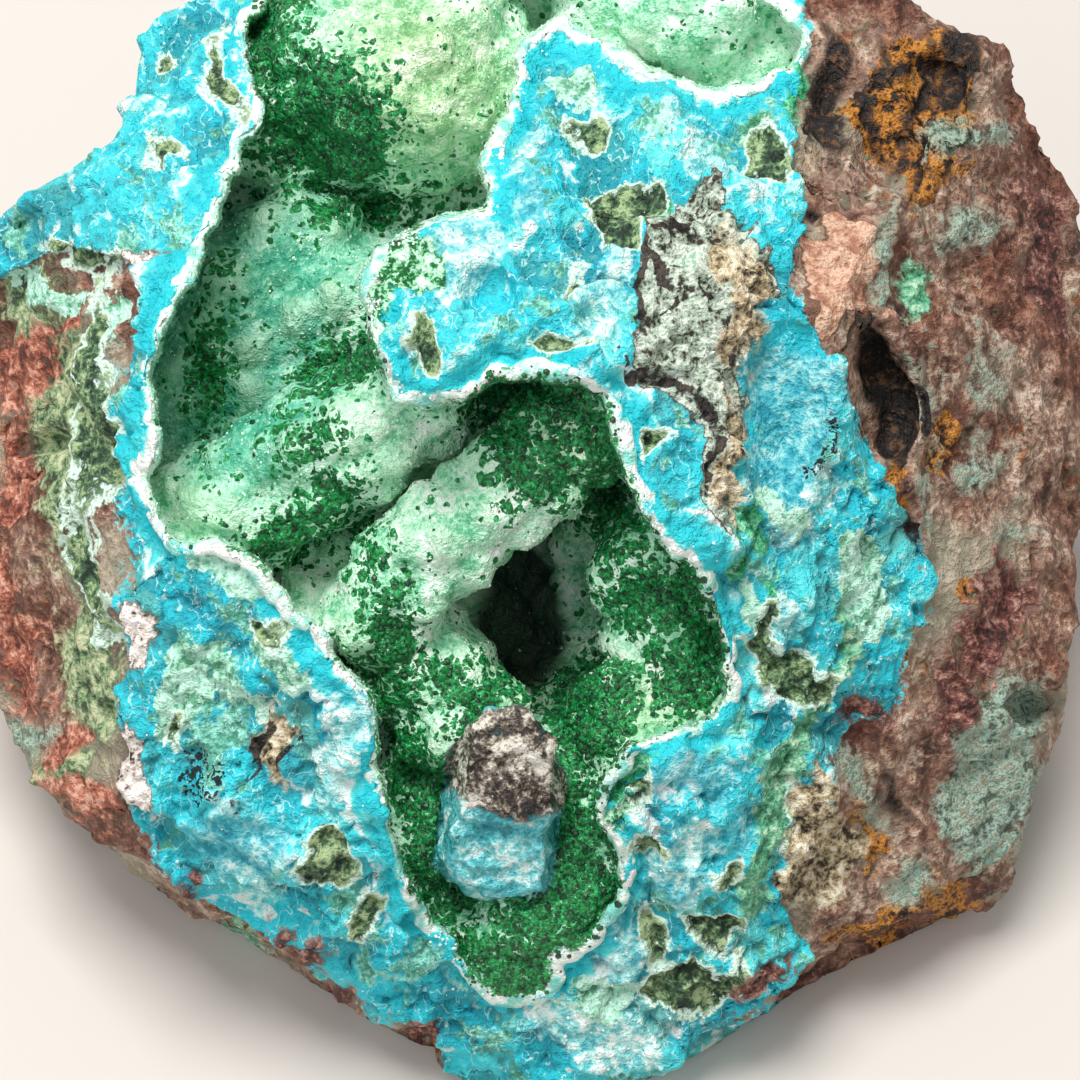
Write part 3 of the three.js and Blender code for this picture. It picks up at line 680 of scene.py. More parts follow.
# %% [markdown]
# ## Where each mineral lies
# The finish of a spot depends on which mineral it is, and minerals meet in sharp, wandering borders. So each
# kind of patch is a list of ovals and outlines on the chart, and the mesh carries one number per point and
# kind: the distance inside its nearest patch. The material turns that into a border with noise on it.
# %% Mineral patches
PATCHES = {  # ovals: across, up, half width, half height and a turn in degrees; outlines: lists of corners
    "olive": [
        (-9.8, 15.8, 1.2, 2.2, 15), (1.3, 16.1, 1.9, 0.9, -10), (6.7, 27.9, 2.1, 2.8, 10),
        (18.9, 32, 1.6, 2.2, -35), (3.4, 35.8, 1.7, 1, 30), (-31.6, 32.6, 1.4, 1, 20),
        (-31.2, 40.5, 0.9, 1.2, 0), (14.2, 27.5, 0.8, 1.6, 20), (-26.4, 39, 0.8, 3.6, 8),
        (20.2, -10.9, 3.6, 1.5, -30), (18.6, -7.5, 0.8, 2.2, 10), (8.2, -20.8, 1.3, 1.5, 0),
        (15.2, -33, 2.6, 1.3, -15), (13, -38, 4.6, 2.3, 15), (8.7, -34, 1, 2.2, 10),
        (-17.7, -26.4, 1.8, 2.6, 20), (-14.7, -32, 0.9, 1.8, 30), (-37.5, 12, 1.3, 9.5, 4),
        (-37.8, -2, 1.3, 5, 10), (-39, 24.6, 3, 0.7, 10), (2.6, 21.2, 0.5, 1.6, 0), (9.8, 8, 0.8, 1, 0),
        (9.6, 3.2, 0.4, 0.6, 0), (22.5, -24, 0.7, 2, -10), (16.8, -27.5, 1, 0.7, 0),
        (9.5, -25.5, 1.3, 0.6, 20), (-23, -7.8, 1.4, 0.8, 0), (-30.5, -16, 0.6, 1.2, 0)],
    "fibrous": [
        (-21.7, -10.2, 1.5, 4.2, 30), (-25, -3.4, 4.6, 1.6, -12), (-30.6, -13, 2, 4.2, 0),
        (-26.2, -12, 4.6, 1, -30), (27.2, -3.2, 2.4, 4.6, 15), (20, 2.2, 1.3, 3, 30), (-42, 21, 3, 1, 10),
        (17, -5.5, 0.8, 2.5, 0), (20.5, -21.5, 1, 2.2, 20), (3, 38.5, 2, 1.4, 0), (-36.2, 19.5, 1, 2.4, 0),
        (5, -39, 3, 1.6, -20)],
    "pale": [
        (-6.6, 23.8, 3.2, 3.4, 0), (5, 19.2, 1.9, 3.8, 0), (20, -6.4, 2, 1.5, 0), (-16, -15, 1.4, 7, -14),
        (4.5, -41.8, 4.6, 2.4, -20), (14, 24.5, 1.2, 0.8, 0), (-1, 32.5, 2, 1.2, 30),
        (12.5, -25.5, 3.4, 1.4, 30), (6.5, -36, 1.4, 2.2, 0), (13.2, 31.5, 1.8, 2.2, -20),
        (-22.4, 35, 1.3, 6.5, 10), (13.4, -29.5, 0.9, 2.2, -10), (12, -8.5, 0.5, 1.4, 0),
        (24, 4.4, 0.8, 2.4, 0), (21, 0.2, 2.2, 1, 0), (-24, -28.4, 2.2, 0.9, -20), (6, 24, 1, 2.2, 10),
        (2.5, 12.5, 3, 0.6, 0)],
    "lagoon": [
        (11.4, -27, 2, 2.8, 0), (16.6, -23.5, 1.2, 2.4, 10), (20.6, 12.4, 4, 5, 10), (20.8, 5, 3.2, 5.6, 5),
        (-26, -25.6, 4.2, 2.8, -20), (-0.5, 28.6, 1.6, 2.4, -20), (12, -20, 3.6, 1.6, 10),
        (5.5, -30.5, 1.2, 3.4, 0)],
    "crusted": [
        (-11.6, 23.2, 4, 2.6, 25), (-13.6, 19.6, 1.2, 2.6, 0), (7, -22, 1, 4, -10)],
    "speckle": [
        [(8.3, 24), (11, 28.2), (14.5, 29.2), (18.2, 25.6), (18.7, 19.5), (17.4, 14.5), (16.2, 9), (15.9, 4),
        (15.2, -0.2), (14.4, 1.5), (14, 6.5), (13, 10.4), (10.6, 12.2), (8, 14.2), (8, 18.5)]],
    "sandy": [
        (17.2, 20, 1.5, 6.4, 4), (15.9, 6, 0.8, 6, 2), (-21.9, -17.6, 1.5, 4.2, 8),
        [(23.9, -17.4), (24.8, -21.5), (26.8, -25.6), (26.2, -30), (22.4, -31.6), (21.2, -28.4),
        (22.6, -22)]],
    "vein": [
        (12.1, 27.1, 3.4, 0.34, 30), (8.45, 23.1, 2.5, 0.36, 72), (8, 19.1, 1.9, 0.36, 100),
        (10.3, 23, 2.2, 0.3, 110), (10.5, 19.6, 1.7, 0.3, 65), (7.9, 14.15, 1.7, 0.3, -34),
        (10.9, 12.7, 1.9, 0.32, -20), (13.4, 10.7, 1.9, 0.32, -58), (14.5, 6.6, 2.6, 0.36, -86),
        (-23.3, -17.6, 4.2, 0.3, 80), (-20.5, -19, 1.6, 0.4, 60), (17.9, 15.5, 1.4, 0.3, 70)],
    "green": [
        (5.3, -20.6, 0.9, 3, 0), (7, -18.6, 2, 0.7, 30), (17.9, 1, 0.8, 2.8, 0), (16.2, -1.5, 0.5, 3, 0),
        (21.8, 37, 0.8, 2.4, 0), (9.3, 27, 0.8, 1.8, 20), (7.6, 29, 0.6, 1.6, 0), (19, -5, 0.7, 1.8, 0),
        (-24.5, -37, 2.2, 0.8, -30), (13.5, 16, 0.5, 0.9, 0), (-2, 14.2, 2.2, 0.4, 10)],
    "leek": [
        (20.8, -21.5, 1.5, 13.5, -15), (25.2, -8, 0.9, 3.4, -20), (32.6, 21.8, 0.9, 2.6, -20),
        (18.6, 34.2, 1.6, 1.6, 0), (-26.5, -33, 3, 0.8, -35)],
    "dendrite": [
        (-27.6, -17.5, 1.4, 1, 0), (-27.8, -20, 1.6, 1.5, 20), (-26.2, -18.8, 1, 1.4, 0),
        (23.6, 7.8, 0.7, 1.7, 0), (7, 6, 0.4, 1.2, 20)],
    "white": [
        (-33.4, -19.6, 1.1, 3.4, 35), (-34.4, -8.3, 1.4, 2.6, -10), (-33.9, 24.4, 2, 0.9, 5)],
    "pink": [
        [(22.3, 27.4), (25, 27.3), (27.6, 26.4), (29.2, 23.8), (28.8, 20.2), (26, 18.8), (22.9, 17.6),
        (22.2, 22)]],
    "ochre": [
        (31.2, 36.2, 5.4, 7, 3), (33.6, 29.6, 3.4, 1.1, 15), (34.5, 8.3, 1.6, 2, 0),
        (30.6, 5.2, 1.2, 2.4, 20), (37, -4, 0.9, 1.4, 0), (31, -32, 5.5, 0.9, 25), (-8.6, -43.6, 1.4, 1, 0),
        (30.4, -9, 1, 4, -8), (27.6, -25, 0.8, 3.4, 6), (15, -42, 2.2, 0.8, 25)],
    # black: painted shade inside the deep holes and the ochre recess, where the surface is also sunk
    "black": [
        (28.9, 11.6, 2.2, 5, 14), (31.3, 0.8, 0.7, 2.4, 0), (23.8, 36.9, 1.3, 5.8, 3),
        (27.7, 37, 0.6, 5.6, 2), (31.6, 37.6, 0.6, 5, 4), (29.6, 31, 1.6, 0.6, 20), (29.2, 39.6, 1, 0.7, 0),
        (30.6, 33, 0.6, 1, 0), (33.9, 39.2, 1.7, 3.6, 0), (31.6, 29.6, 0.7, 1, 0), (30, -21, 0.5, 2, 10),
        (22.3, 28.5, 1, 0.6, 0)],
    "maroon": [
        (28, -14.8, 1.8, 1.1, 5), (-20.6, -33.9, 3.2, 1.3, -34), (-16.8, -37.8, 1.6, 1, -20),
        (-31, -28.8, 1, 0.8, 0), (38.5, -6, 2, 6, -15), (35, -13, 1.6, 4, -10), (42, 24, 2.2, 6, 10),
        (-10.4, -42.8, 1.6, 1, 10), (19, -36.8, 2.6, 0.9, 35)],
    "verdigris": [
        (35.8, 33.2, 3, 1.6, 8), (37, 13.3, 0.6, 1.6, 0), (32.2, 12.8, 0.7, 1.2, 20), (37.3, 6.5, 1.2, 2, 0),
        (33.4, 3, 0.45, 5, -4), (29.6, 23.4, 0.6, 4, 12), (38, -19.5, 3.8, 8.5, -8),
        (27.2, -20, 0.7, 3.6, 22), (-43.5, -16.5, 1.8, 1.8, 0), (-36.3, 14, 0.7, 3, 0),
        (40.5, 1, 0.8, 1.2, 0), (-26.5, -34, 1.6, 1, -30), (36.5, 26, 1.4, 0.9, 40), (31, -29, 1, 2, -10)],
    "moss": [
        (-40, 10, 2.6, 14, 8), (-38.8, -10, 2.4, 9, 0), (-40, -20, 3, 2.6, 0), (-44, 19, 2, 3.4, 20)],
    "rust": [
        (-43.8, 14.5, 1.6, 4.5, -35), (-41.2, 19, 0.9, 4.6, -22), (-44.6, 5, 1.6, 6, -10),
        (-44.6, -8, 2, 7, 10), (-40.6, -16.8, 1.8, 2.2, 0), (-37.5, -22, 3, 1.6, -30),
        (28.2, 19.4, 1.2, 0.8, 0)],
}


def oval_distance(oval, across, up):
    """Distance inside a turned oval: (1 - |p / r|) times its smaller radius."""
    middle_across, middle_up, half_across, half_up, turned = oval
    c, s = math.cos(math.radians(turned)), math.sin(math.radians(turned))
    a, b = across - middle_across, up - middle_up
    size = np.hypot((a * c + b * s) / half_across, (b * c - a * s) / half_up)
    return (1 - size) * min(half_across, half_up)


def patch_distance(patches, across, up):
    """Distance inside the nearest patch of a list of ovals and outlines, cut off at -5 mm."""
    best = np.full(np.shape(across), -5.0)
    for patch in patches:
        measure = inside_distance if isinstance(patch, list) else oval_distance
        best = np.maximum(best, measure(patch, across, up))
    return best


AWAY = -3  # a mark this low, in mm, is outside its patches even where their borders wander
NO_RIM = 12  # the rim's bands never reach so far from the mouth
rock_chart = chart_of(rock_face)
front = ease(rock_face[:, 2], -24, -12)
ragged_chart = wandered(*wandered(*rock_chart, 1.3, 5.0, 2.0), 0.6, 1.7, 9.0)
rock_marks = {kind: patch_distance(patches, *ragged_chart) * front + AWAY * (1 - front)
              for kind, patches in PATCHES.items()}
depth = rock_face[:, 2] + 9 * layered_noise(rock_face, 11.0, 3, 23.0)  # uneven: the blue ends raggedly
rock_marks["blue"] = np.clip(in_blue(*rock_chart), -6, 6) * ease(depth, -18, -6) + AWAY * ease(-depth, 6, 18)
behind = (in_mouth(*rock_chart) > 1.5) & (outside_field(rock_face, rock_chart) > -1.0) & (rock_face[:, 2] < -8)
rock_marks["rim"] = np.clip(-in_mouth(*rock_chart), AWAY, NO_RIM)
rock_marks["rim"][behind | (rock_face[:, 2] < CAVITY_BACK)] = NO_RIM
BARE = [(-14, -20, 4, 13, -14), (16, -8, 3, 7, 0), (7, -20, 3, 3, 0)]  # where the white edge is missing
rock_marks["bare"] = patch_distance(BARE, *rock_chart)
print("patches of", len(PATCHES), "kinds;", round(time.time() - started, 1), "s")

# %% [markdown]
# ## The rock's grain
# Each mineral breaks or grows in its own way: hemimorphite in round knobs and small cells, the host rock in
# ragged ledges, a druse in fine sugar. So the skin is moved along its normals by noises whose strengths
# follow the mineral marks. The flat base is left flat.
# %% Rock relief
BASE_FADE = 1.5


def terraces(value, steps, sharpness=0.15):
    """Flattens a noise into `steps` levels with steep risers: floor plus an eased remainder."""
    scaled = value * steps
    low = np.floor(scaled)
    return (low + ease(scaled - low, 0.5 - sharpness, 0.5 + sharpness)) / steps


def rock_relief(face, marks):
    """How far each point moves out, in mm: a sum of noises, each times the share of its mineral there."""
    blue = ease(marks["blue"], -0.3, 0.5)
    smooth = ease(marks["lagoon"], -0.5, 1.0) * blue
    pale = ease(marks["pale"], -0.3, 0.6) * blue
    speckled = ease(marks["speckle"], -0.2, 0.6)
    knobs = 0.9 * (knob_noise(face, 2.6) - 0.5) + 0.4 * (knob_noise(face, 1.2, 3.1) - 0.5)
    broken = terraces(layered_noise(face, 5.0, 4, 9.0), 2.5) * 1.5
    ridges = 0.5 - np.abs(layered_noise(face, 3.0, 3, 5.0))
    creases = 1 - ease(np.abs(layered_noise(face, 3.6, 3, 17.0)), 0.0, 0.26)
    on_blue = 0.7 * layered_noise(face, 5.0, 2, 1.0) + knobs * (0.4 + 0.5 * pale)
    on_blue = on_blue + broken * (0.9 - 0.7 * pale) - 0.35 - 0.75 * creases * (1 - 0.6 * pale)
    ledges = terraces(layered_noise(face, 7.5, 3, 12.0), 2.5)
    on_host = 0.9 * layered_noise(face, 9.0, 2) + 1.4 * ledges + 0.6 * (ridges - 0.3) - 0.7
    edge = 0.35 + 0.65 * ease(marks["rim"], 0.3, 1.8)
    relief = (blue * on_blue + (1 - blue) * on_host) * edge + 0.16 * layered_noise(face, 0.9, 2, 2.0)
    relief += 0.4 * ease(-marks["rim"], -0.8, -0.2) * blue * (knob_noise(face, 0.9, 6.6) - 0.4)
    cracked = 0.5 * speckled * np.abs(layered_noise(face, 1.6, 2, 6.0))
    relief -= 0.6 * ease(marks["olive"], -0.1, 0.5) * blue + cracked
    return relief * ease(marks["rim"], -0.5, 0.3) * (1 - 0.7 * smooth)


normals = steadied(facing(rock_face, rock_triangles), rock_triangles)
on_bed = cavity_field(rock_face, rock_chart, *BED) > -0.7
buried = ease(-outside_field(rock_face, rock_chart), 0.5, 1.5) * on_bed
relief = rock_relief(rock_face, rock_marks) * (1 - buried)
# proud: the relief height, which the finish turns into painted shade in the creases and painted light on the
# crowns.
rock_marks["proud"] = relief - layered_noise(rock_face, 8.0, 1) * 0.5
sunken = 1.2 * ease(rock_marks["black"], 0.0, 1.0)
rock_face = rock_face + normals * ((relief - sunken) * ease(base_height(rock_face), 0, BASE_FADE))[:, None]
sunk = np.minimum(base_height(rock_face), 0)
rock_face[:, 1] -= sunk * math.sin(LEAN)
rock_face[:, 2] -= sunk * math.cos(LEAN)
rock_piece = mesh_object("hemimorphite_rock", rock_face, rock_triangles, rock_marks)
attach(rock_piece, "root")
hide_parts("rock")
print("rock piece:", len(rock_piece.data.polygons), "triangles;", round(time.time() - started, 1), "s")

# %% [markdown]
# ## The crust's skin
# The crust grew on the cavity's walls, so it is what is left of a slightly wider cavity when the open space is
# taken out of it, with the fingers and the stump left standing. Its back lies against the stone and is
# never seen, so it is gathered in coarse blocks, and the sugary front is sampled finely.
# %% Crust skin
CRUST_STEP = 0.31
WALL_BLEND = 1.8
BACKING = (0.85, 3.4)  # how far the crust's back lies behind the open space: a little inside the stone
RIM_DROP = 0.5
crust_lines = (lines(-36, 27, CRUST_STEP), lines(-41, 53, CRUST_STEP), lines(-17, 26, CRUST_STEP))


def crust_field(face, chart):
    """Negative in the crust: inside the wider cavity and the rock's outside, and not in the open space."""
    open_space = smooth_least(-cavity_field(face, chart, 0, 0), growth_field(face), WALL_BLEND)
    within = np.maximum(cavity_field(face, chart, *BACKING), outside_field(face, chart) + RIM_DROP)
    return np.maximum(within, open_space)


def crust_blocks(face, chart, normals):
    """Widths in cells: 1 in front, 2 on slopes, and 5 on the back, which lies against the stone."""
    back = (cavity_field(face, chart, *BACKING) > -0.4) & (outside_field(face, chart) < -2.5)
    return np.where(back, 5, np.where(normals[:, 2] < 0.3, 2, 1))


crust_face, crust_triangles = skin("crust", crust_field, crust_lines, crust_blocks)

# %% [markdown]
# ## The crust's colours and knobs
# Pale crystals of quartz and hemimorphite cover the walls, and tufts of dark green malachite grow on them:
# thick under the rims, where their dark green also stands for painted shade, and low in the hollow, thin on
# the fingers' backs. Marks carry that: how much malachite there is, how deep a spot lies, which sets painted
# shade, and where the stump is, whose broken top shows grey rock.
# %% Crust marks and relief
# Malachite places; those under the rims and the bridge also give painted shade there.
MALACHITE_AND_RIM_SHADE = [  # across, up, half width, half height, turn; the malachite is thickest in these places
    (-17.5, 35, 5.5, 4.5, -20), (-22, 40.5, 2, 6, 0), (0, 12, 7, 2.6, -8), (5.2, 5, 2.4, 7, 10),
    (-1, 6.8, 3, 3, 0), (-15.5, 14.5, 3, 1.8, 30), (-20, 0.5, 4, 1.4, 35), (-13, -9, 1.3, 7, 10),
    (-9, -24, 2.6, 9, 10), (3.5, -15, 4, 4.5, 0), (12, -10, 3, 5, 0), (10, -5, 4.5, 2.6, 0),
    (1.5, -30, 4.5, 8, 0), (-2, -36, 5.5, 3, 0), (3, -22, 2.6, 5, 0), (-9.5, 21.5, 4, 2, 60),
    (-27.5, 15, 0.8, 3, 0), (-15, 28, 4, 1.2, 0), (-6, -13.5, 4, 2, -20), (-20, 8, 1.6, 1, 20),
]
TEAL = [(-25, 14, 8, 10, 0), (-9, 16, 4.5, 3, 0), (-21, 24, 8, 5, 0)]
YELLOW = [(-9.5, 38.5, 7, 9, 20), (3.5, 8, 3, 2.2, 40), (9, -13.5, 3.5, 2.2, 10), (-2, -11.5, 2, 1.5, 0)]
DEEP_HOLE = (-1.8, -6.5, 4.4, 6.6, 10)
CRUST_LIFT = 0.1
STUMP_CAP = (-2.4, -18.6, 5.6, 4.6, -8)
crust_chart = chart_of(crust_face)
ragged_chart = wandered(*crust_chart, 1.2, 4.0, 2.0)
# depth at the hollow's low end and in the deep hole, which the finish turns into painted shade
low_end = 0.6 * np.clip(-crust_face[:, 2] - 5.5, 0, 6) * ease(-crust_chart[1], -18, -10)
in_hole = np.clip(-crust_face[:, 2] - 1.0, 0, 6) * ease(oval_distance(DEEP_HOLE, *crust_chart), -0.8, 1.2)
crust_marks = {
    "malachite": patch_distance(MALACHITE_AND_RIM_SHADE, *ragged_chart),
    "teal": patch_distance(TEAL, *crust_chart),
    "yellow": patch_distance(YELLOW, *crust_chart),
    "deep": np.maximum(low_end, in_hole),
    "stump": np.clip(-stump_field(crust_face), -4, 4),
    "cap": oval_distance(STUMP_CAP, *crust_chart),
    "rim": np.clip(in_mouth(*crust_chart), -2, 12),
}


def crust_relief(face, marks):
    """How far each point moves out: round knobs, smaller ones on them and sugar; less on the stump."""
    knobs = 2.1 * (knob_noise(face, 4.0, 1.7) - 0.4) + 0.7 * (knob_noise(face, 1.7, 4.2) - 0.4)
    sugar = 0.25 * (knob_noise(face, 0.75, 8.8) - 0.4)
    broken = 0.7 * terraces(layered_noise(face, 3.5, 3, 3.0), 3) + 0.25 * layered_noise(face, 1.0, 2, 3.0)
    broken -= 0.35 * ease(smooth_noise(face, 0.8, 12.0), 0.25, 0.5)
    stump = ease(marks["stump"], -0.6, 0.0)
    calm = 0.15 + 0.85 * ease(marks["rim"], 0.0, 2.0)
    return (knobs + 0.6 * layered_noise(face, 6.0, 2, 2.5)) * (1 - stump) * calm + broken * stump + sugar


normals = steadied(facing(crust_face, crust_triangles), crust_triangles)
relief = crust_relief(crust_face, crust_marks)
# proud: the relief height, which the finish turns into painted shade in the creases and painted light on the
# crowns.
crust_marks["proud"] = relief
crust_face = crust_face + normals * (relief + CRUST_LIFT)[:, None]
crust_piece = mesh_object("malachite_crust", crust_face, crust_triangles, crust_marks)
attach(crust_piece, "root")
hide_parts("crystal_crust")
print("crust piece:", len(crust_piece.data.polygons), "triangles;", round(time.time() - started, 1), "s")

# %% [markdown]
# ## Grains that stand free
# Up close, a druse is single crystals. The ones that catch the eye are made as real shapes: rounded malachite
# tufts on the crust, clear quartz grains between them, and white grains along the broken rim. Each kind is one
# mesh. Its grains are copies of one small body, placed on random spots of a skin and turned at random.
# %% Scattered grains
GOLD = (1 + 5**0.5) / 2
TUFT_CORNERS = np.array([  # twelve corners of three golden rectangles: a body of twenty faces
    (-1, GOLD, 0), (1, GOLD, 0), (-1, -GOLD, 0), (1, -GOLD, 0), (0, -1, GOLD), (0, 1, GOLD),
    (0, -1, -GOLD), (0, 1, -GOLD), (GOLD, 0, -1), (GOLD, 0, 1), (-GOLD, 0, -1), (-GOLD, 0, 1)])
TUFT_CORNERS = TUFT_CORNERS / np.linalg.norm(TUFT_CORNERS[0])
TUFT_FACES = np.array([
    (0, 11, 5), (0, 5, 1), (0, 1, 7), (0, 7, 10), (0, 10, 11), (1, 5, 9), (5, 11, 4), (11, 10, 2), (10, 7, 6),
    (7, 1, 8), (3, 9, 4), (3, 4, 2), (3, 2, 6), (3, 6, 8), (3, 8, 9), (4, 9, 5), (2, 4, 11), (6, 2, 10),
    (8, 6, 7), (9, 8, 1)])
GRAIN_CORNERS = np.array([(1, 0, 0), (0, 1, 0), (-1, 0, 0), (0, -1, 0), (0, 0, 1.5), (0, 0, -1.0)])
GRAIN_FACES = np.array([
    (0, 1, 4), (1, 2, 4), (2, 3, 4), (3, 0, 4), (1, 0, 5), (2, 1, 5), (3, 2, 5), (0, 3, 5)])


def random_turns(count):
    """Random rotation matrices from random unit quaternions."""
    w, x, y, z = (q := rng.normal(size=(4, count))) / np.linalg.norm(q, axis=0)
    return np.stack([
        np.stack([1 - 2 * (y * y + z * z), 2 * (x * y - w * z), 2 * (x * z + w * y)], axis=1),
        np.stack([2 * (x * y + w * z), 1 - 2 * (x * x + z * z), 2 * (y * z - w * x)], axis=1),
        np.stack([2 * (x * z - w * y), 2 * (y * z + w * x), 1 - 2 * (x * x + y * y)], axis=1)], axis=1)


def grains(name, count, skin_made, likely, body, sizes, sink):
    """Bodies on a skin: triangles drawn by area times likelihood, a spot in each, and a turn and a size."""
    face, triangles = skin_made
    corners, faces = body
    a, b, c = [face[triangles[:, k]] for k in range(3)]
    cross = np.cross(b - a, c - a)
    area = np.linalg.norm(cross, axis=1)
    chance = area * likely[triangles].mean(axis=1)
    picked = rng.choice(len(triangles), count, p=chance / chance.sum())
    s, t = rng.uniform(size=(2, count, 1))
    flip = s + t > 1
    s, t = np.where(flip, 1 - s, s), np.where(flip, 1 - t, t)
    spot = a[picked] + s * (b - a)[picked] + t * (c - a)[picked]
    size = sizes[0] + (sizes[1] - sizes[0]) * rng.uniform(size=(count, 1)) ** 2
    spot -= cross[picked] / np.maximum(area[picked, None], 1e-9) * size * sink
    shape = np.einsum("nij,kj->nki", random_turns(count), corners) * size[:, None]
    points = (spot[:, None] + shape).reshape(-1, 3)
    all_faces = (faces[None] + len(corners) * np.arange(count)[:, None, None]).reshape(-1, 3)
    shade = np.repeat(rng.uniform(size=count), len(corners))
    piece = mesh_object(name, points, all_faces, {"shade": shade})
    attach(piece, "root")
    print(name, ":", count, "grains,", len(all_faces), "triangles")
    return piece


crust_chart = chart_of(crust_face)
not_stump = ease(-crust_marks["stump"], 0.3, 0.8)
not_deep = 1 - 0.95 * ease(crust_marks["deep"], 0.5, 2.5)
inner = (cavity_field(crust_face, crust_chart, *BACKING) < 5) * ease(
    -cavity_field(crust_face, crust_chart, 0.8, 1.4), 0.0, 0.3)
growth = ease(smooth_noise(crust_face, 1.8, 5.0) + 0.6 * crust_marks["malachite"] + 0.3, -0.1, 1.2) + 0.012
sparkle = not_stump * inner * ease(-crust_marks["malachite"], -0.5, 1.5) + 0.01
TUFT, GRAIN = (TUFT_CORNERS, TUFT_FACES), (GRAIN_CORNERS, GRAIN_FACES)
on_crust, on_rock = (crust_face, crust_triangles), (rock_face, rock_triangles)
tufts = grains("malachite_tufts", 7000, on_crust, growth * not_stump * inner, TUFT, (0.12, 0.38), 0.3)
sparks = grains("quartz_grains", 9000, on_crust, sparkle * not_deep, GRAIN, (0.08, 0.2), 0.1)
on_rim = ease(rock_marks["rim"], -0.2, 0.1) * ease(-rock_marks["rim"], -1.2, -0.2) * (rock_marks["blue"] > 0)
on_rim *= ease(-rock_marks["bare"], -0.5, 0.5) * (0.04 + ease(smooth_noise(rock_face, 4.0, 2.2), 0.0, 0.4))
frosted = on_rim + 0.004 * (rock_marks["blue"] > 0) + 0.05 * ease(rock_marks["pale"], -0.3, 0.6)
frosted *= ease(base_height(rock_face), 0.6, 2.0)  # none under the stone, where it rests
fringe = grains("white_druse", 12000, on_rock, frosted, GRAIN, (0.07, 0.2), 0.1)

# %% [markdown]
# ## Finishes
# Every finish is a node material. Colours are given as the hex codes that a paint chart uses, and one function
# turns them into the linear light that a renderer adds up. One small function adds a node with its settings
# and its links, and everything below is made with it. Pattern sizes are in millimetres of the real mineral.
# %% Colour and node helpers
def linear(code):
    """sRGB hex to linear: c / 12.92 for small c, otherwise ((c + 0.055) / 1.055)^2.4; opaque."""
    parts = [int(code[i:i + 2], 16) / 255 for i in (1, 3, 5)]
    return [c / 12.92 if c <= 0.04045 else ((c + 0.055) / 1.055) ** 2.4 for c in parts] + [1.0]


def add(tree, kind, inputs=None, stops=None, **settings):
    """A new node: its settings, its ramp stops and its inputs. An input is a value, another node's output, or
    a node, which stands for its first output in use."""
    node = tree.nodes.new("ShaderNode" + kind)
    for name, value in settings.items():
        setattr(node, name, value)
    for key, value in (inputs or {}).items():
        if isinstance(value, bpy.types.Node):
            value = next(output for output in value.outputs if output.enabled)
        if isinstance(value, bpy.types.NodeSocket):
            tree.links.new(value, node.inputs[key])
        else:
            node.inputs[key].default_value = value
    if stops:
        ramp = node.color_ramp
        while len(ramp.elements) < len(stops):
            ramp.elements.new(0.5)
        for element, (place, code) in zip(ramp.elements, stops):
            element.position = place
            element.color = linear(code)
    return node


def per_metre(size):
    """The texture scale that makes features `size` mm wide."""
    return 1 / (size * MM)


def new_material(name):
    """An empty node material, its tree and the object coordinates."""
    material = bpy.data.materials.new(name)
    material.use_nodes = True
    tree = material.node_tree
    tree.nodes.clear()
    return material, tree, add(tree, "TexCoord").outputs["Object"]


def finish_piece(piece, material, inputs):
    """Ends a material with a shader of these inputs and its output, and gives it to the piece."""
    tree = material.node_tree
    add(tree, "OutputMaterial", {"Surface": add(tree, "BsdfPrincipled", inputs)})
    piece.data.materials.append(material)
    print(material.name, "has", len(tree.nodes), "nodes")


print("cyan is", [round(c, 3) for c in linear("#1fb8d0")])

# %% [markdown]
# ## Hemimorphite, host rock and their borders
# Blue hemimorphite is coloured by traces of copper. Painted shade makes it deepest in the creases and painted
# light makes it paler on the knobs; it is white where its crystals are fine. The host rock is iron-stained:
# browns, greys and rust. Nearly all of it is built from four noises. Each border is the patch distance with
# noise of two sizes added, cut sharply.
# %% Rock patterns
# Hemimorphite on limonitic host rock, freshly broken: matt and opaque, rough, with a faint sugary gloss.
rock_material, tree, place = new_material("hemimorphite_in_limonite_rock")
drawn_out = add(tree, "VectorMath", {0: place, 1: (1.0, 0.6, 0.6)}, operation="MULTIPLY")
broad, middle, fine, streaky = [
    add(tree, "TexNoise", {"Vector": at, "Scale": per_metre(size), "Detail": 2.0, "Roughness": rough})
    for at, size, rough in ((place, 7.0, 0.6), (place, 2.2, 0.65), (place, 0.6, 0.68), (drawn_out, 2.4, 0.65))]


def bent_place(size, detail, reach):
    """The object coordinates bent by a colour noise `size` mm wide, by up to `reach` mm."""
    noise = add(tree, "TexNoise", {"Vector": place, "Scale": per_metre(size), "Detail": detail})
    bend = add(tree, "VectorMath", {0: noise.outputs["Color"], 1: (reach * MM,) * 3}, operation="MULTIPLY")
    return add(tree, "VectorMath", {0: place, 1: bend}, operation="ADD")


def mixed_noise(a, b, share, stretch=1.8):
    """a times (1 - share) plus b times share, stretched about 0.5 because a mean of noises is flatter."""
    mean = add(tree, "Mix", {0: share, 2: a, 3: b}, data_type="FLOAT")
    return add(tree, "Math", {0: mean, 1: stretch, 2: 0.5 - 0.5 * stretch}, operation="MULTIPLY_ADD")


def roughened(value, noise, span):
    """A value moved by a noise: the value plus span times (noise - 0.5)."""
    centred = add(tree, "Math", {0: noise, 1: 0.5}, operation="SUBTRACT")
    return add(tree, "Math", {0: centred, 1: span, 2: value}, operation="MULTIPLY_ADD")


def graded(mark, low, high, most=1.0, least=0.0):
    """A mark graded evenly, from `least` where it is `low` to `most` where it is `high`."""
    value = add(tree, "Attribute", attribute_name=mark).outputs["Fac"]
    return add(tree, "MapRange", {0: value, 1: low, 2: high, 3: least, 4: most})


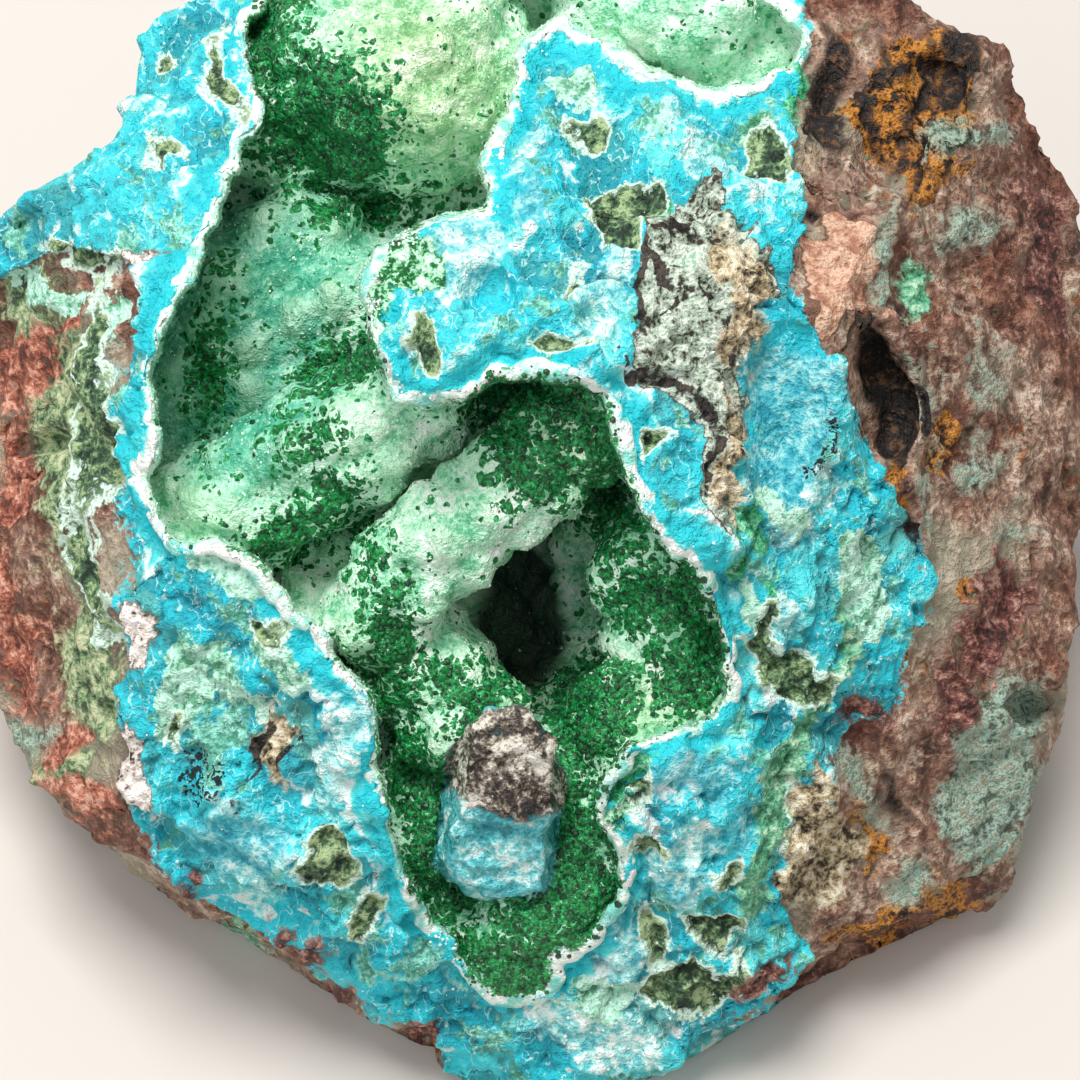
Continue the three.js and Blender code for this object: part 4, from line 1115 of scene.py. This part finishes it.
def wandering(mark, size_broad, size_fine):
    """A mark whose border wanders: the mark plus two noises about 0, each scaled to that many mm."""
    value = add(tree, "Attribute", attribute_name=mark).outputs["Fac"]
    moved = roughened(roughened(0.0, middle, size_broad * 2), fine, size_fine * 2)
    return add(tree, "Math", {0: value, 1: moved}, operation="ADD")


def share_inside(mark, size_broad, size_fine, softness, start=0.0):
    """1 inside a mark's patches and 0 outside: the wandering mark, cut smoothly over `softness` mm."""
    return add(tree, "MapRange", {0: wandering(mark, size_broad, size_fine), 1: start - softness / 2,
                                  2: start + softness / 2}, interpolation_type="SMOOTHSTEP")


def stacked(colour, *layers):
    """A colour with layers over it. A layer is the share where it shows, the noise that its colours run
    through, and its ramp stops; without a noise, it is one colour."""
    for share, noise, stops in layers:
        top = add(tree, "ValToRGB", {0: noise}, stops=stops) if noise else linear(stops)
        colour = add(tree, "Mix", {0: share, 6: colour, 7: top}, data_type="RGBA")
    return colour


mottled = mixed_noise(broad, middle, 0.45)
grain = mixed_noise(middle, fine, 0.5)
streaked = mixed_noise(broad, streaky, 0.6)
print("rock patterns from 0.6 to 7 mm")

# %% [markdown]
# The host rock runs through browns in streaks, with darker grains and pale chips. Clouds of 13 mm, wider than
# any other pattern here, redden it in one place and grey it in another.
# %% Host rock
host = stacked(
    add(tree, "ValToRGB", {0: streaked}, stops=[
        (0.24, "#2a1a14"), (0.34, "#5c3a2e"), (0.42, "#8a6350"), (0.49, "#9c7866"), (0.55, "#b79f8c"),
        (0.60, "#7e5547"), (0.66, "#8c8f76"), (0.72, "#864e36"), (0.82, "#b98146")]),
    (0.5, grain, [(0.33, "#140c08"), (0.44, "#6b4a3a"), (0.55, "#a98a74"), (0.68, "#e9dac8")]))
clouds = add(tree, "TexNoise", {"Vector": place, "Scale": per_metre(13.0), "Detail": 1.0})
reddened = add(tree, "MapRange", {0: clouds, 1: 0.49, 2: 0.62, 4: 0.75})
host = add(tree, "Mix", {0: reddened, 6: host, 7: linear("#b47459")}, data_type="RGBA", blend_type="MULTIPLY")
greyed = add(tree, "MapRange", {0: clouds, 1: 0.45, 2: 0.35, 4: 0.6})
host = stacked(host, (greyed, None, "#a3a28c"))
print("host rock:", len(tree.nodes), "nodes so far")

# %% [markdown]
# The blue's colour follows its own relief: painted shade makes it deep in the creases and painted light makes
# it pale on the crowns. Cells 4 mm wide change it from knob to knob. White sugar and mint lie in patches of
# their own, and thin white seams run where a streaky noise crosses its middle value.
# %% Blue ground
height = roughened(add(tree, "Attribute", attribute_name="proud").outputs["Fac"], grain, 3.4)
knob = add(tree, "TexVoronoi", {"Vector": bent_place(3.0, 1.0, 2.2), "Scale": per_metre(4.2)}, feature="F1")
sugary = add(tree, "MapRange", {0: mottled, 1: 0.70, 2: 0.77, 4: 0.75})
minty = add(tree, "MapRange", {0: mottled, 1: 0.40, 2: 0.33, 4: 0.8})
off_middle = add(tree, "Math", {0: streaky, 1: 0.5}, operation="SUBTRACT")
off_middle = add(tree, "Math", {0: off_middle}, operation="ABSOLUTE")
seam = add(tree, "MapRange", {0: off_middle, 1: 0.012, 2: 0.004, 3: 0.0, 4: 0.6})
broken_up = add(tree, "MapRange", {0: fine, 1: 0.38, 2: 0.52})
seam = add(tree, "Math", {0: seam, 1: broken_up}, operation="MULTIPLY")
# blue_ground: its first ramp, read from the relief height, runs from painted shade in the creases to a painted
# highlight on the crowns.
blue_ground = stacked(
    add(tree, "ValToRGB", {0: add(tree, "MapRange", {0: height, 1: -1.2, 2: 1.3})}, stops=[
        (0.0, "#04707f"), (0.14, "#0694a4"), (0.34, "#0cbaca"), (0.60, "#25cdd9"), (0.84, "#55dce2"),
        (0.95, "#93eae8"), (1.0, "#d8f8f2")]),
    (0.4, add(tree, "SeparateColor", {0: knob.outputs["Color"]}), [
        (0.0, "#12bcd0"), (0.3, "#3fd0dc"), (0.42, "#22b4ca"), (0.55, "#52d8dc"), (0.68, "#1cc4d4"),
        (0.8, "#86e2cc"), (0.9, "#2ecad6"), (1.0, "#9eead8")]),
    (sugary, grain, [(0.36, "#8fd5d2"), (0.48, "#cdeee6"), (0.6, "#f5fbf5"), (0.7, "#e8dfd4")]),
    (minty, grain, [(0.34, "#4f9a78"), (0.46, "#84cdb0"), (0.58, "#aeeed8"), (0.7, "#2fcad0")]),
    (seam, None, "#d9f7f0"))
print("blue ground:", len(tree.nodes), "nodes so far")

# %% [markdown]
# Each further mineral is one row: its mark, how far its border wanders, how soft it is, and the colours that
# its grain runs through. Four of them have a thin rim of another colour. Stains belong to the host alone.
# %% Stains of the host rock
RIMS = {  # rim colour, width in mm
    "pink": ("#6b4a36", 0.2), "olive": ("#d5efdf", 0.3),
    "speckle": ("#57483a", 0.15), "white": ("#7a6a5c", 0.15),
}
HOST_LAYERS = [  # mark, wander, softness, grain colours
    ("moss", 2, 1.5, [(0.32, "#2c3d2c"), (0.43, "#5f7c55"), (0.54, "#93a97d"), (0.66, "#c0c49e")]),
    ("rust", 1.6, 0.8, [(0.32, "#4f2820"), (0.44, "#894a38"), (0.56, "#b06c55"), (0.68, "#d3a28c")]),
    ("pink", 0.4, 0.2, [(0.32, "#a06f58"), (0.46, "#c89a80"), (0.6, "#dcbda4"), (0.72, "#b98268")]),
    ("ochre", 1.2, 0.4, [(0.36, "#160d07"), (0.43, "#553212"), (0.5, "#a2651c"), (0.6, "#c88836"),
                         (0.7, "#6b4522")]),
    ("verdigris", 2, 1.8, [(0.34, "#4f5a4e"), (0.43, "#7d9686"), (0.54, "#a3bdad"), (0.64, "#8f8069"),
                           (0.74, "#7db3a6")]),
]


def laid(colour, rows):
    """A colour with rows of minerals over it, each within its own wandering border."""
    for mark, moves, softness, stops in rows:
        border = (mark, moves, moves * 0.55, softness)
        if mark in RIMS:
            rim, width = RIMS[mark]
            colour = stacked(colour, (share_inside(*border, -width), None, rim))
        colour = stacked(colour, (share_inside(*border), grain, stops))
    return colour


host = laid(host, HOST_LAYERS)
colour = add(tree, "Mix", {0: share_inside("blue", 0.9, 0.5, 0.25), 6: host, 7: blue_ground}, data_type="RGBA")
print(len(HOST_LAYERS), "stains")

# %% [markdown]
# The layers nearest the hollow grew last. Just outside the mouth comes a white sugary edge, then a band of the
# strongest blue, then a thin white seam, and then the ordinary ground. The band is 2.2 to 4.4 mm wide.
# %% Rim bands
BAND_SCALE = 6.0
wider = add(tree, "MapRange", {0: broad, 1: 0.42, 2: 0.62, 3: 0.45, 4: -0.5})
rim_place = wandering("rim", 0.8, 0.6)
for further in (wider, graded("bare", -1.0, 1.0, 0.8)):
    rim_place = add(tree, "Math", {0: rim_place, 1: further}, operation="ADD")
band_end = add(tree, "MapRange", {0: broad, 1: 0.35, 2: 0.65, 3: 2.2, 4: 4.4})
within = add(tree, "Math", {0: band_end, 1: rim_place}, operation="SUBTRACT")
band_share = add(tree, "MapRange", {0: within, 1: 0.0, 2: 0.5})
for factor in (share_inside("blue", 0.6, 0.3, 0.4), 0.92):
    band_share = add(tree, "Math", {0: band_share, 1: factor}, operation="MULTIPLY")
colour = stacked(colour, (band_share, add(tree, "MapRange", {0: rim_place, 1: 0.0, 2: BAND_SCALE}), [
    (0.0, "#e6f2ea"), (0.05, "#f8f6f2"), (0.08, "#8fe6e4"), (0.12, "#27d0d9"), (0.36, "#0bbccb"),
    (0.48, "#5cdfe0"), (0.54, "#effaf5")]))
print("rim bands laid")

# %% [markdown]
# The minerals of the blue part lie over its ground and its bands, the darkest last; the black row is painted
# shade in the holes.
# %% Mineral layers
LAYERS = [  # the same columns
    ("lagoon", 1.2, 1.4, [(0.32, "#1d8ba0"), (0.44, "#3eb0bf"), (0.56, "#6cc4cc"), (0.7, "#a8dfe0")]),
    ("pale", 1.2, 1, [(0.32, "#4fb8c2"), (0.44, "#84d0d2"), (0.57, "#b8e8e2"), (0.68, "#effaf6")]),
    ("fibrous", 0.9, 0.15, [(0.34, "#5b9c7b"), (0.43, "#90cbae"), (0.53, "#b3e5cf"), (0.64, "#cff4e4"),
                            (0.74, "#a0dabd")]),
    ("crusted", 1.4, 0.5, [(0.36, "#04501f"), (0.45, "#0b7d3b"), (0.49, "#8acca0"), (0.58, "#b9e4c8"),
                           (0.7, "#ecfaf0")]),
    ("leek", 1, 0.7, [(0.34, "#2f7a55"), (0.46, "#55a27c"), (0.58, "#82c29c"), (0.7, "#bfe3c4")]),
    ("green", 0.9, 0.3, [(0.36, "#0b6a3f"), (0.48, "#239a62"), (0.58, "#4cb886"), (0.68, "#93d8b4")]),
    ("olive", 0.8, 0.25, [(0.34, "#14291a"), (0.44, "#355239"), (0.54, "#628259"), (0.64, "#a5bb8c")]),
    ("maroon", 1.6, 0.7, [(0.34, "#2b1613"), (0.46, "#5b302a"), (0.57, "#85564b"), (0.69, "#b48e80")]),
    ("speckle", 0.6, 0.15, [(0.34, "#2b2620"), (0.4, "#7d8474"), (0.47, "#9fb3a0"), (0.54, "#bccabb"),
                            (0.62, "#e2e6da"), (0.72, "#8fb8a4")]),
    ("sandy", 0.6, 0.5, [(0.34, "#2c251d"), (0.42, "#83745a"), (0.5, "#ae9c7a"), (0.58, "#cbbd9c"),
                         (0.68, "#e4dcc8")]),
    ("white", 0.6, 0.2, [(0.32, "#2e2a28"), (0.4, "#b9aca3"), (0.52, "#eadfd6"), (0.64, "#fbf6f1")]),
    # black: painted shade in the deep holes and the recess
    ("black", 0.8, 0.6, [(0.34, "#060504"), (0.48, "#191310"), (0.6, "#33241b"), (0.7, "#6b4c34")]),
    ("vein", 0.45, 0.12, [(0.34, "#0b0a09"), (0.5, "#1f1b18"), (0.66, "#4d453c")]),
]
colour = laid(colour, LAYERS)
print(len(LAYERS), "mineral layers")

# %% [markdown]
# Over all come the white sugar of the broken edge, and small dendrites of black manganese oxide. Then the
# finish gets its fine relief and gloss.
# %% Edge, dendrites and relief
white_edge = add(tree, "MapRange", {0: rim_place, 1: 0.35, 2: 0.05, 4: 0.85})
in_blue_part = add(tree, "Attribute", attribute_name="blue").outputs["Fac"]
in_blue_part = add(tree, "MapRange", {0: in_blue_part, 1: -0.2, 2: 0.2}, interpolation_type="SMOOTHSTEP")
white_edge = add(tree, "Math", {0: white_edge, 1: in_blue_part}, operation="MULTIPLY")
star = add(tree, "MapRange", {0: fine, 1: 0.50, 2: 0.54})
star = add(tree, "Math", {0: star, 1: share_inside("dendrite", 1.2, 0.8, 0.5)}, operation="MULTIPLY")
finish_piece(rock_piece, rock_material, {
    "Base Color": stacked(colour, (white_edge, None, "#f4f6f1"), (star, None, "#12262c")),
    "Normal": add(tree, "Bump", {"Strength": 1.0, "Distance": 0.55 * MM, "Height": fine}),
    "Roughness": add(tree, "MapRange", {0: fine, 1: 0.3, 2: 0.7, 3: 0.55, 4: 0.9}),
    "IOR": 1.6, "Specular IOR Level": 0.35})

# %% [markdown]
# ## The crust's finish
# The crust is a druse: thousands of tiny glassy faces that together look like coloured sugar. It is pale green
# where it is mostly quartz and teal low in the hollow, with painted shade in its creases and painted light on
# its crowns.
# %% Crust ground
# Drusy quartz and hemimorphite with malachite: opaque in the mass, sugary, with small bright glints.
crust_material, tree, place = new_material("drusy_quartz_with_malachite")
middle, fine = [
    add(tree, "TexNoise", {"Vector": place, "Scale": per_metre(size), "Detail": 2.0, "Roughness": rough})
    for size, rough in ((2.4, 0.68), (0.45, 0.72))]
grain = mixed_noise(middle, fine, 0.4)
colour = stacked(
    add(tree, "ValToRGB", {0: grain}, stops=[
        (0.28, "#58b987"), (0.40, "#9be0b8"), (0.50, "#c2f3d3"), (0.60, "#e2fbe9"), (0.72, "#fdfffc")]),
    (share_inside("teal", 1.5, 0.5, 5.0), grain, [
        (0.28, "#2f9c80"), (0.42, "#4bb393"), (0.56, "#74cbaa"), (0.72, "#bdeeda")]),
    # painted shade in the creases and a painted highlight on the crowns, both from the relief height
    (graded("proud", -0.1, -1.3, 0.5), None, "#23794f"),
    (graded("proud", 0.2, 1.2, 0.5), None, "#daf8da"),
    (graded("yellow", -3.0, 4.0, 0.7), grain, [
        (0.34, "#7fae66"), (0.48, "#a9cd8b"), (0.6, "#d3e9b4"), (0.72, "#f3fbe0")]))
print("crust ground:", len(tree.nodes), "nodes so far")

# %% [markdown]
# Malachite stands on it in separate tufts, which show as dark specks that crowd together, and close to a solid
# cover, where there is more of it. So it is drawn as round dots of two sizes, over cells of 1 and 0.55 mm.
# %% Malachite specks
amount = roughened(graded("malachite", -2.5, 1.4, 1.2, 0.13), middle, 1.2)
bent = bent_place(0.8, 0.0, 0.7)


def dots(size):
    """Round dots, one in some of the cells `size` mm wide: wider, and in more cells, where there is more."""
    cell = add(tree, "TexVoronoi", {"Vector": bent, "Scale": per_metre(size)}, feature="F1")
    chance = add(tree, "SeparateColor", {0: cell.outputs["Color"]})
    spare = add(tree, "Math", {0: amount, 1: chance}, operation="SUBTRACT")
    width = add(tree, "MapRange", {0: spare, 1: 0.0, 2: 0.02, 4: 0.22})
    width = add(tree, "Math", {0: spare, 1: 1.1, 2: width}, operation="MULTIPLY_ADD")
    width = roughened(width, fine, 0.6)
    inside = add(tree, "Math", {0: width, 1: cell.outputs["Distance"]}, operation="SUBTRACT")
    return add(tree, "MapRange", {0: inside, 1: 0.0, 2: 0.06})


speck = add(tree, "Math", {0: dots(1.0), 1: dots(0.55)}, operation="MAXIMUM")
edge = add(tree, "MapRange", {0: wandering("rim", 0.9, 0.6), 1: 0.0, 2: -0.25})
colour = stacked(
    colour,
    (speck, fine, [
        (0.33, "#01200f"), (0.42, "#044d23"), (0.50, "#067836"), (0.59, "#0e984a"), (0.68, "#42be74"),
        (0.77, "#d3f6da")]),
    (edge, middle, [(0.38, "#7fd6c8"), (0.48, "#d9f2e8"), (0.6, "#fbfaf6")]),
    # painted shade: near-black green where the hollow is deepest and in the deep hole
    (graded("deep", 0.5, 4.0, 0.93), None, "#042014"))
print("crust colours laid")

# %% [markdown]
# The stump is a finger that broke off. Its side is pale blue hemimorphite, and its broken top is grey and
# brown rock with dark grains.
# %% Stump and gloss
in_stump = share_inside("stump", 0.8, 0.4, 0.5, -0.4)
on_top = add(tree, "Math", {0: in_stump, 1: share_inside("cap", 1.5, 0.6, 0.5)}, operation="MULTIPLY")
finish_piece(crust_piece, crust_material, {
    "Base Color": stacked(
        colour,
        (in_stump, grain, [(0.30, "#17808c"), (0.43, "#3cadb6"), (0.58, "#72cccf"), (0.72, "#d9f3ef")]),
        (on_top, grain, [(0.34, "#150f0c"), (0.44, "#3f332b"), (0.54, "#857b6c"), (0.66, "#dcd8cc")])),
    "Normal": add(tree, "Bump", {"Strength": 1.0, "Distance": 0.4 * MM, "Height": fine}),
    "Roughness": add(tree, "MapRange", {0: fine, 1: 0.35, 2: 0.65, 3: 0.65, 4: 0.25}),
    "IOR": 1.55})

# %% [markdown]
# ## The free grains' finish
# Malachite tufts are satiny deep green and some are nearly black. Quartz grains are clear and glassy, but
# their colour is painted: white on the rim, and pale green in the hollow with white painted glints.
# %% Grain materials
GRAIN_FINISHES = [  # piece, material name, roughness, and colours over the random shade
    # satin malachite: deep green beads with a soft highlight, which read as dark specks
    (tufts, "malachite_tuft_satin", 0.45, [
        (0.0, "#021f0f"), (0.35, "#04461f"), (0.7, "#087437"), (1.0, "#1fa058")]),
    # glassy quartz: pale green grains whose white end is a painted glint against the green
    (sparks, "quartz_grain_painted_glint", 0.2, [
        (0.0, "#6fb890"), (0.4, "#a9dcbc"), (0.75, "#dff5e4"), (1.0, "#ffffff")]),
    # sugary quartz: bright white points that make the broken rim look frosted
    (fringe, "white_drusy_quartz", 0.3, [
        (0.0, "#bfe6e2"), (0.4, "#e6f3ee"), (0.75, "#f7f7f2"), (1.0, "#ffffff")]),
]
for piece, name, rough, stops in GRAIN_FINISHES:
    material, tree, place = new_material(name)
    shade = add(tree, "Attribute", attribute_name="shade").outputs["Fac"]
    cloudy = add(tree, "TexNoise", {"Vector": place, "Scale": per_metre(0.3), "Detail": 1.0})
    both = add(tree, "Mix", {0: 0.35, 2: shade, 3: cloudy}, data_type="FLOAT")
    finish_piece(piece, material, {"Base Color": add(tree, "ValToRGB", {0: both}, stops=stops),
                                   "Roughness": rough, "IOR": 1.55})
    piece.data.polygons.foreach_set("use_smooth", np.zeros(len(piece.data.polygons), bool))

# %% [markdown]
# ## Floor and light
# The specimen lies on a plain pale sheet. The light is high and soft, as by a large window a little behind and
# to the left, with a weak fill, so the floor is almost white at the back and warmer in front.
# %% Stage
REACH = 3.0
sheet_mesh = bpy.data.meshes.new("pale_sheet")
corners = [(x * REACH, y * REACH, 0) for x, y in ((-1, -1), (1, -1), (1, 1), (-1, 1))]
sheet_mesh.from_pydata(corners, [], [(0, 1, 2, 3)])
sheet = bpy.data.objects.new("pale_sheet", sheet_mesh)
bpy.context.collection.objects.link(sheet)
sheet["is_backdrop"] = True
# Matt paper: no highlight, so that the eye stays on the stone and its soft shadow.
sheet_material, tree, place = new_material("pale_paper")
finish_piece(sheet, sheet_material, {"Base Color": linear("#d1ccc6"), "Roughness": 0.9})

world = bpy.data.worlds.new("soft_room")
bpy.context.scene.world = world
world.use_nodes = True
sky = world.node_tree.nodes["Background"].inputs
sky["Color"].default_value = linear("#f6f4f2")
sky["Strength"].default_value = 0.52
TARGET = (0, 0, 0.02)


def soft_light(name, place, size, power, code):
    """A square area light at a place in metres, turned towards the middle of the stone."""
    data = bpy.data.lights.new(name, "AREA")
    data.size, data.energy, data.color = size, power, linear(code)[:3]
    light = bpy.data.objects.new(name, data)
    bpy.context.collection.objects.link(light)
    light.location = place
    x, y, z = np.array(TARGET) - np.array(place)
    light.rotation_euler = (math.atan2(math.hypot(x, y), -z), 0, math.atan2(y, x) - math.pi / 2)


soft_light("window", (-0.10, 0.10, 0.84), 0.40, 7.4, "#fffdfa")
soft_light("fill", (-0.5, -0.5, 0.6), 0.6, 1.8, "#f4f8ff")
print("stage set")

# %% [markdown]
# ## Sizes
# Both boxes, of the imported solids and of the finished looks, are printed side by side.
# %% Print the sizes and finish
new_box = [list(corner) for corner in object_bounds()]
bpy.context.scene.view_settings.view_transform = "Standard"
print("cad box", cad_box, "visual box", new_box, round(time.time() - started, 1), "s")
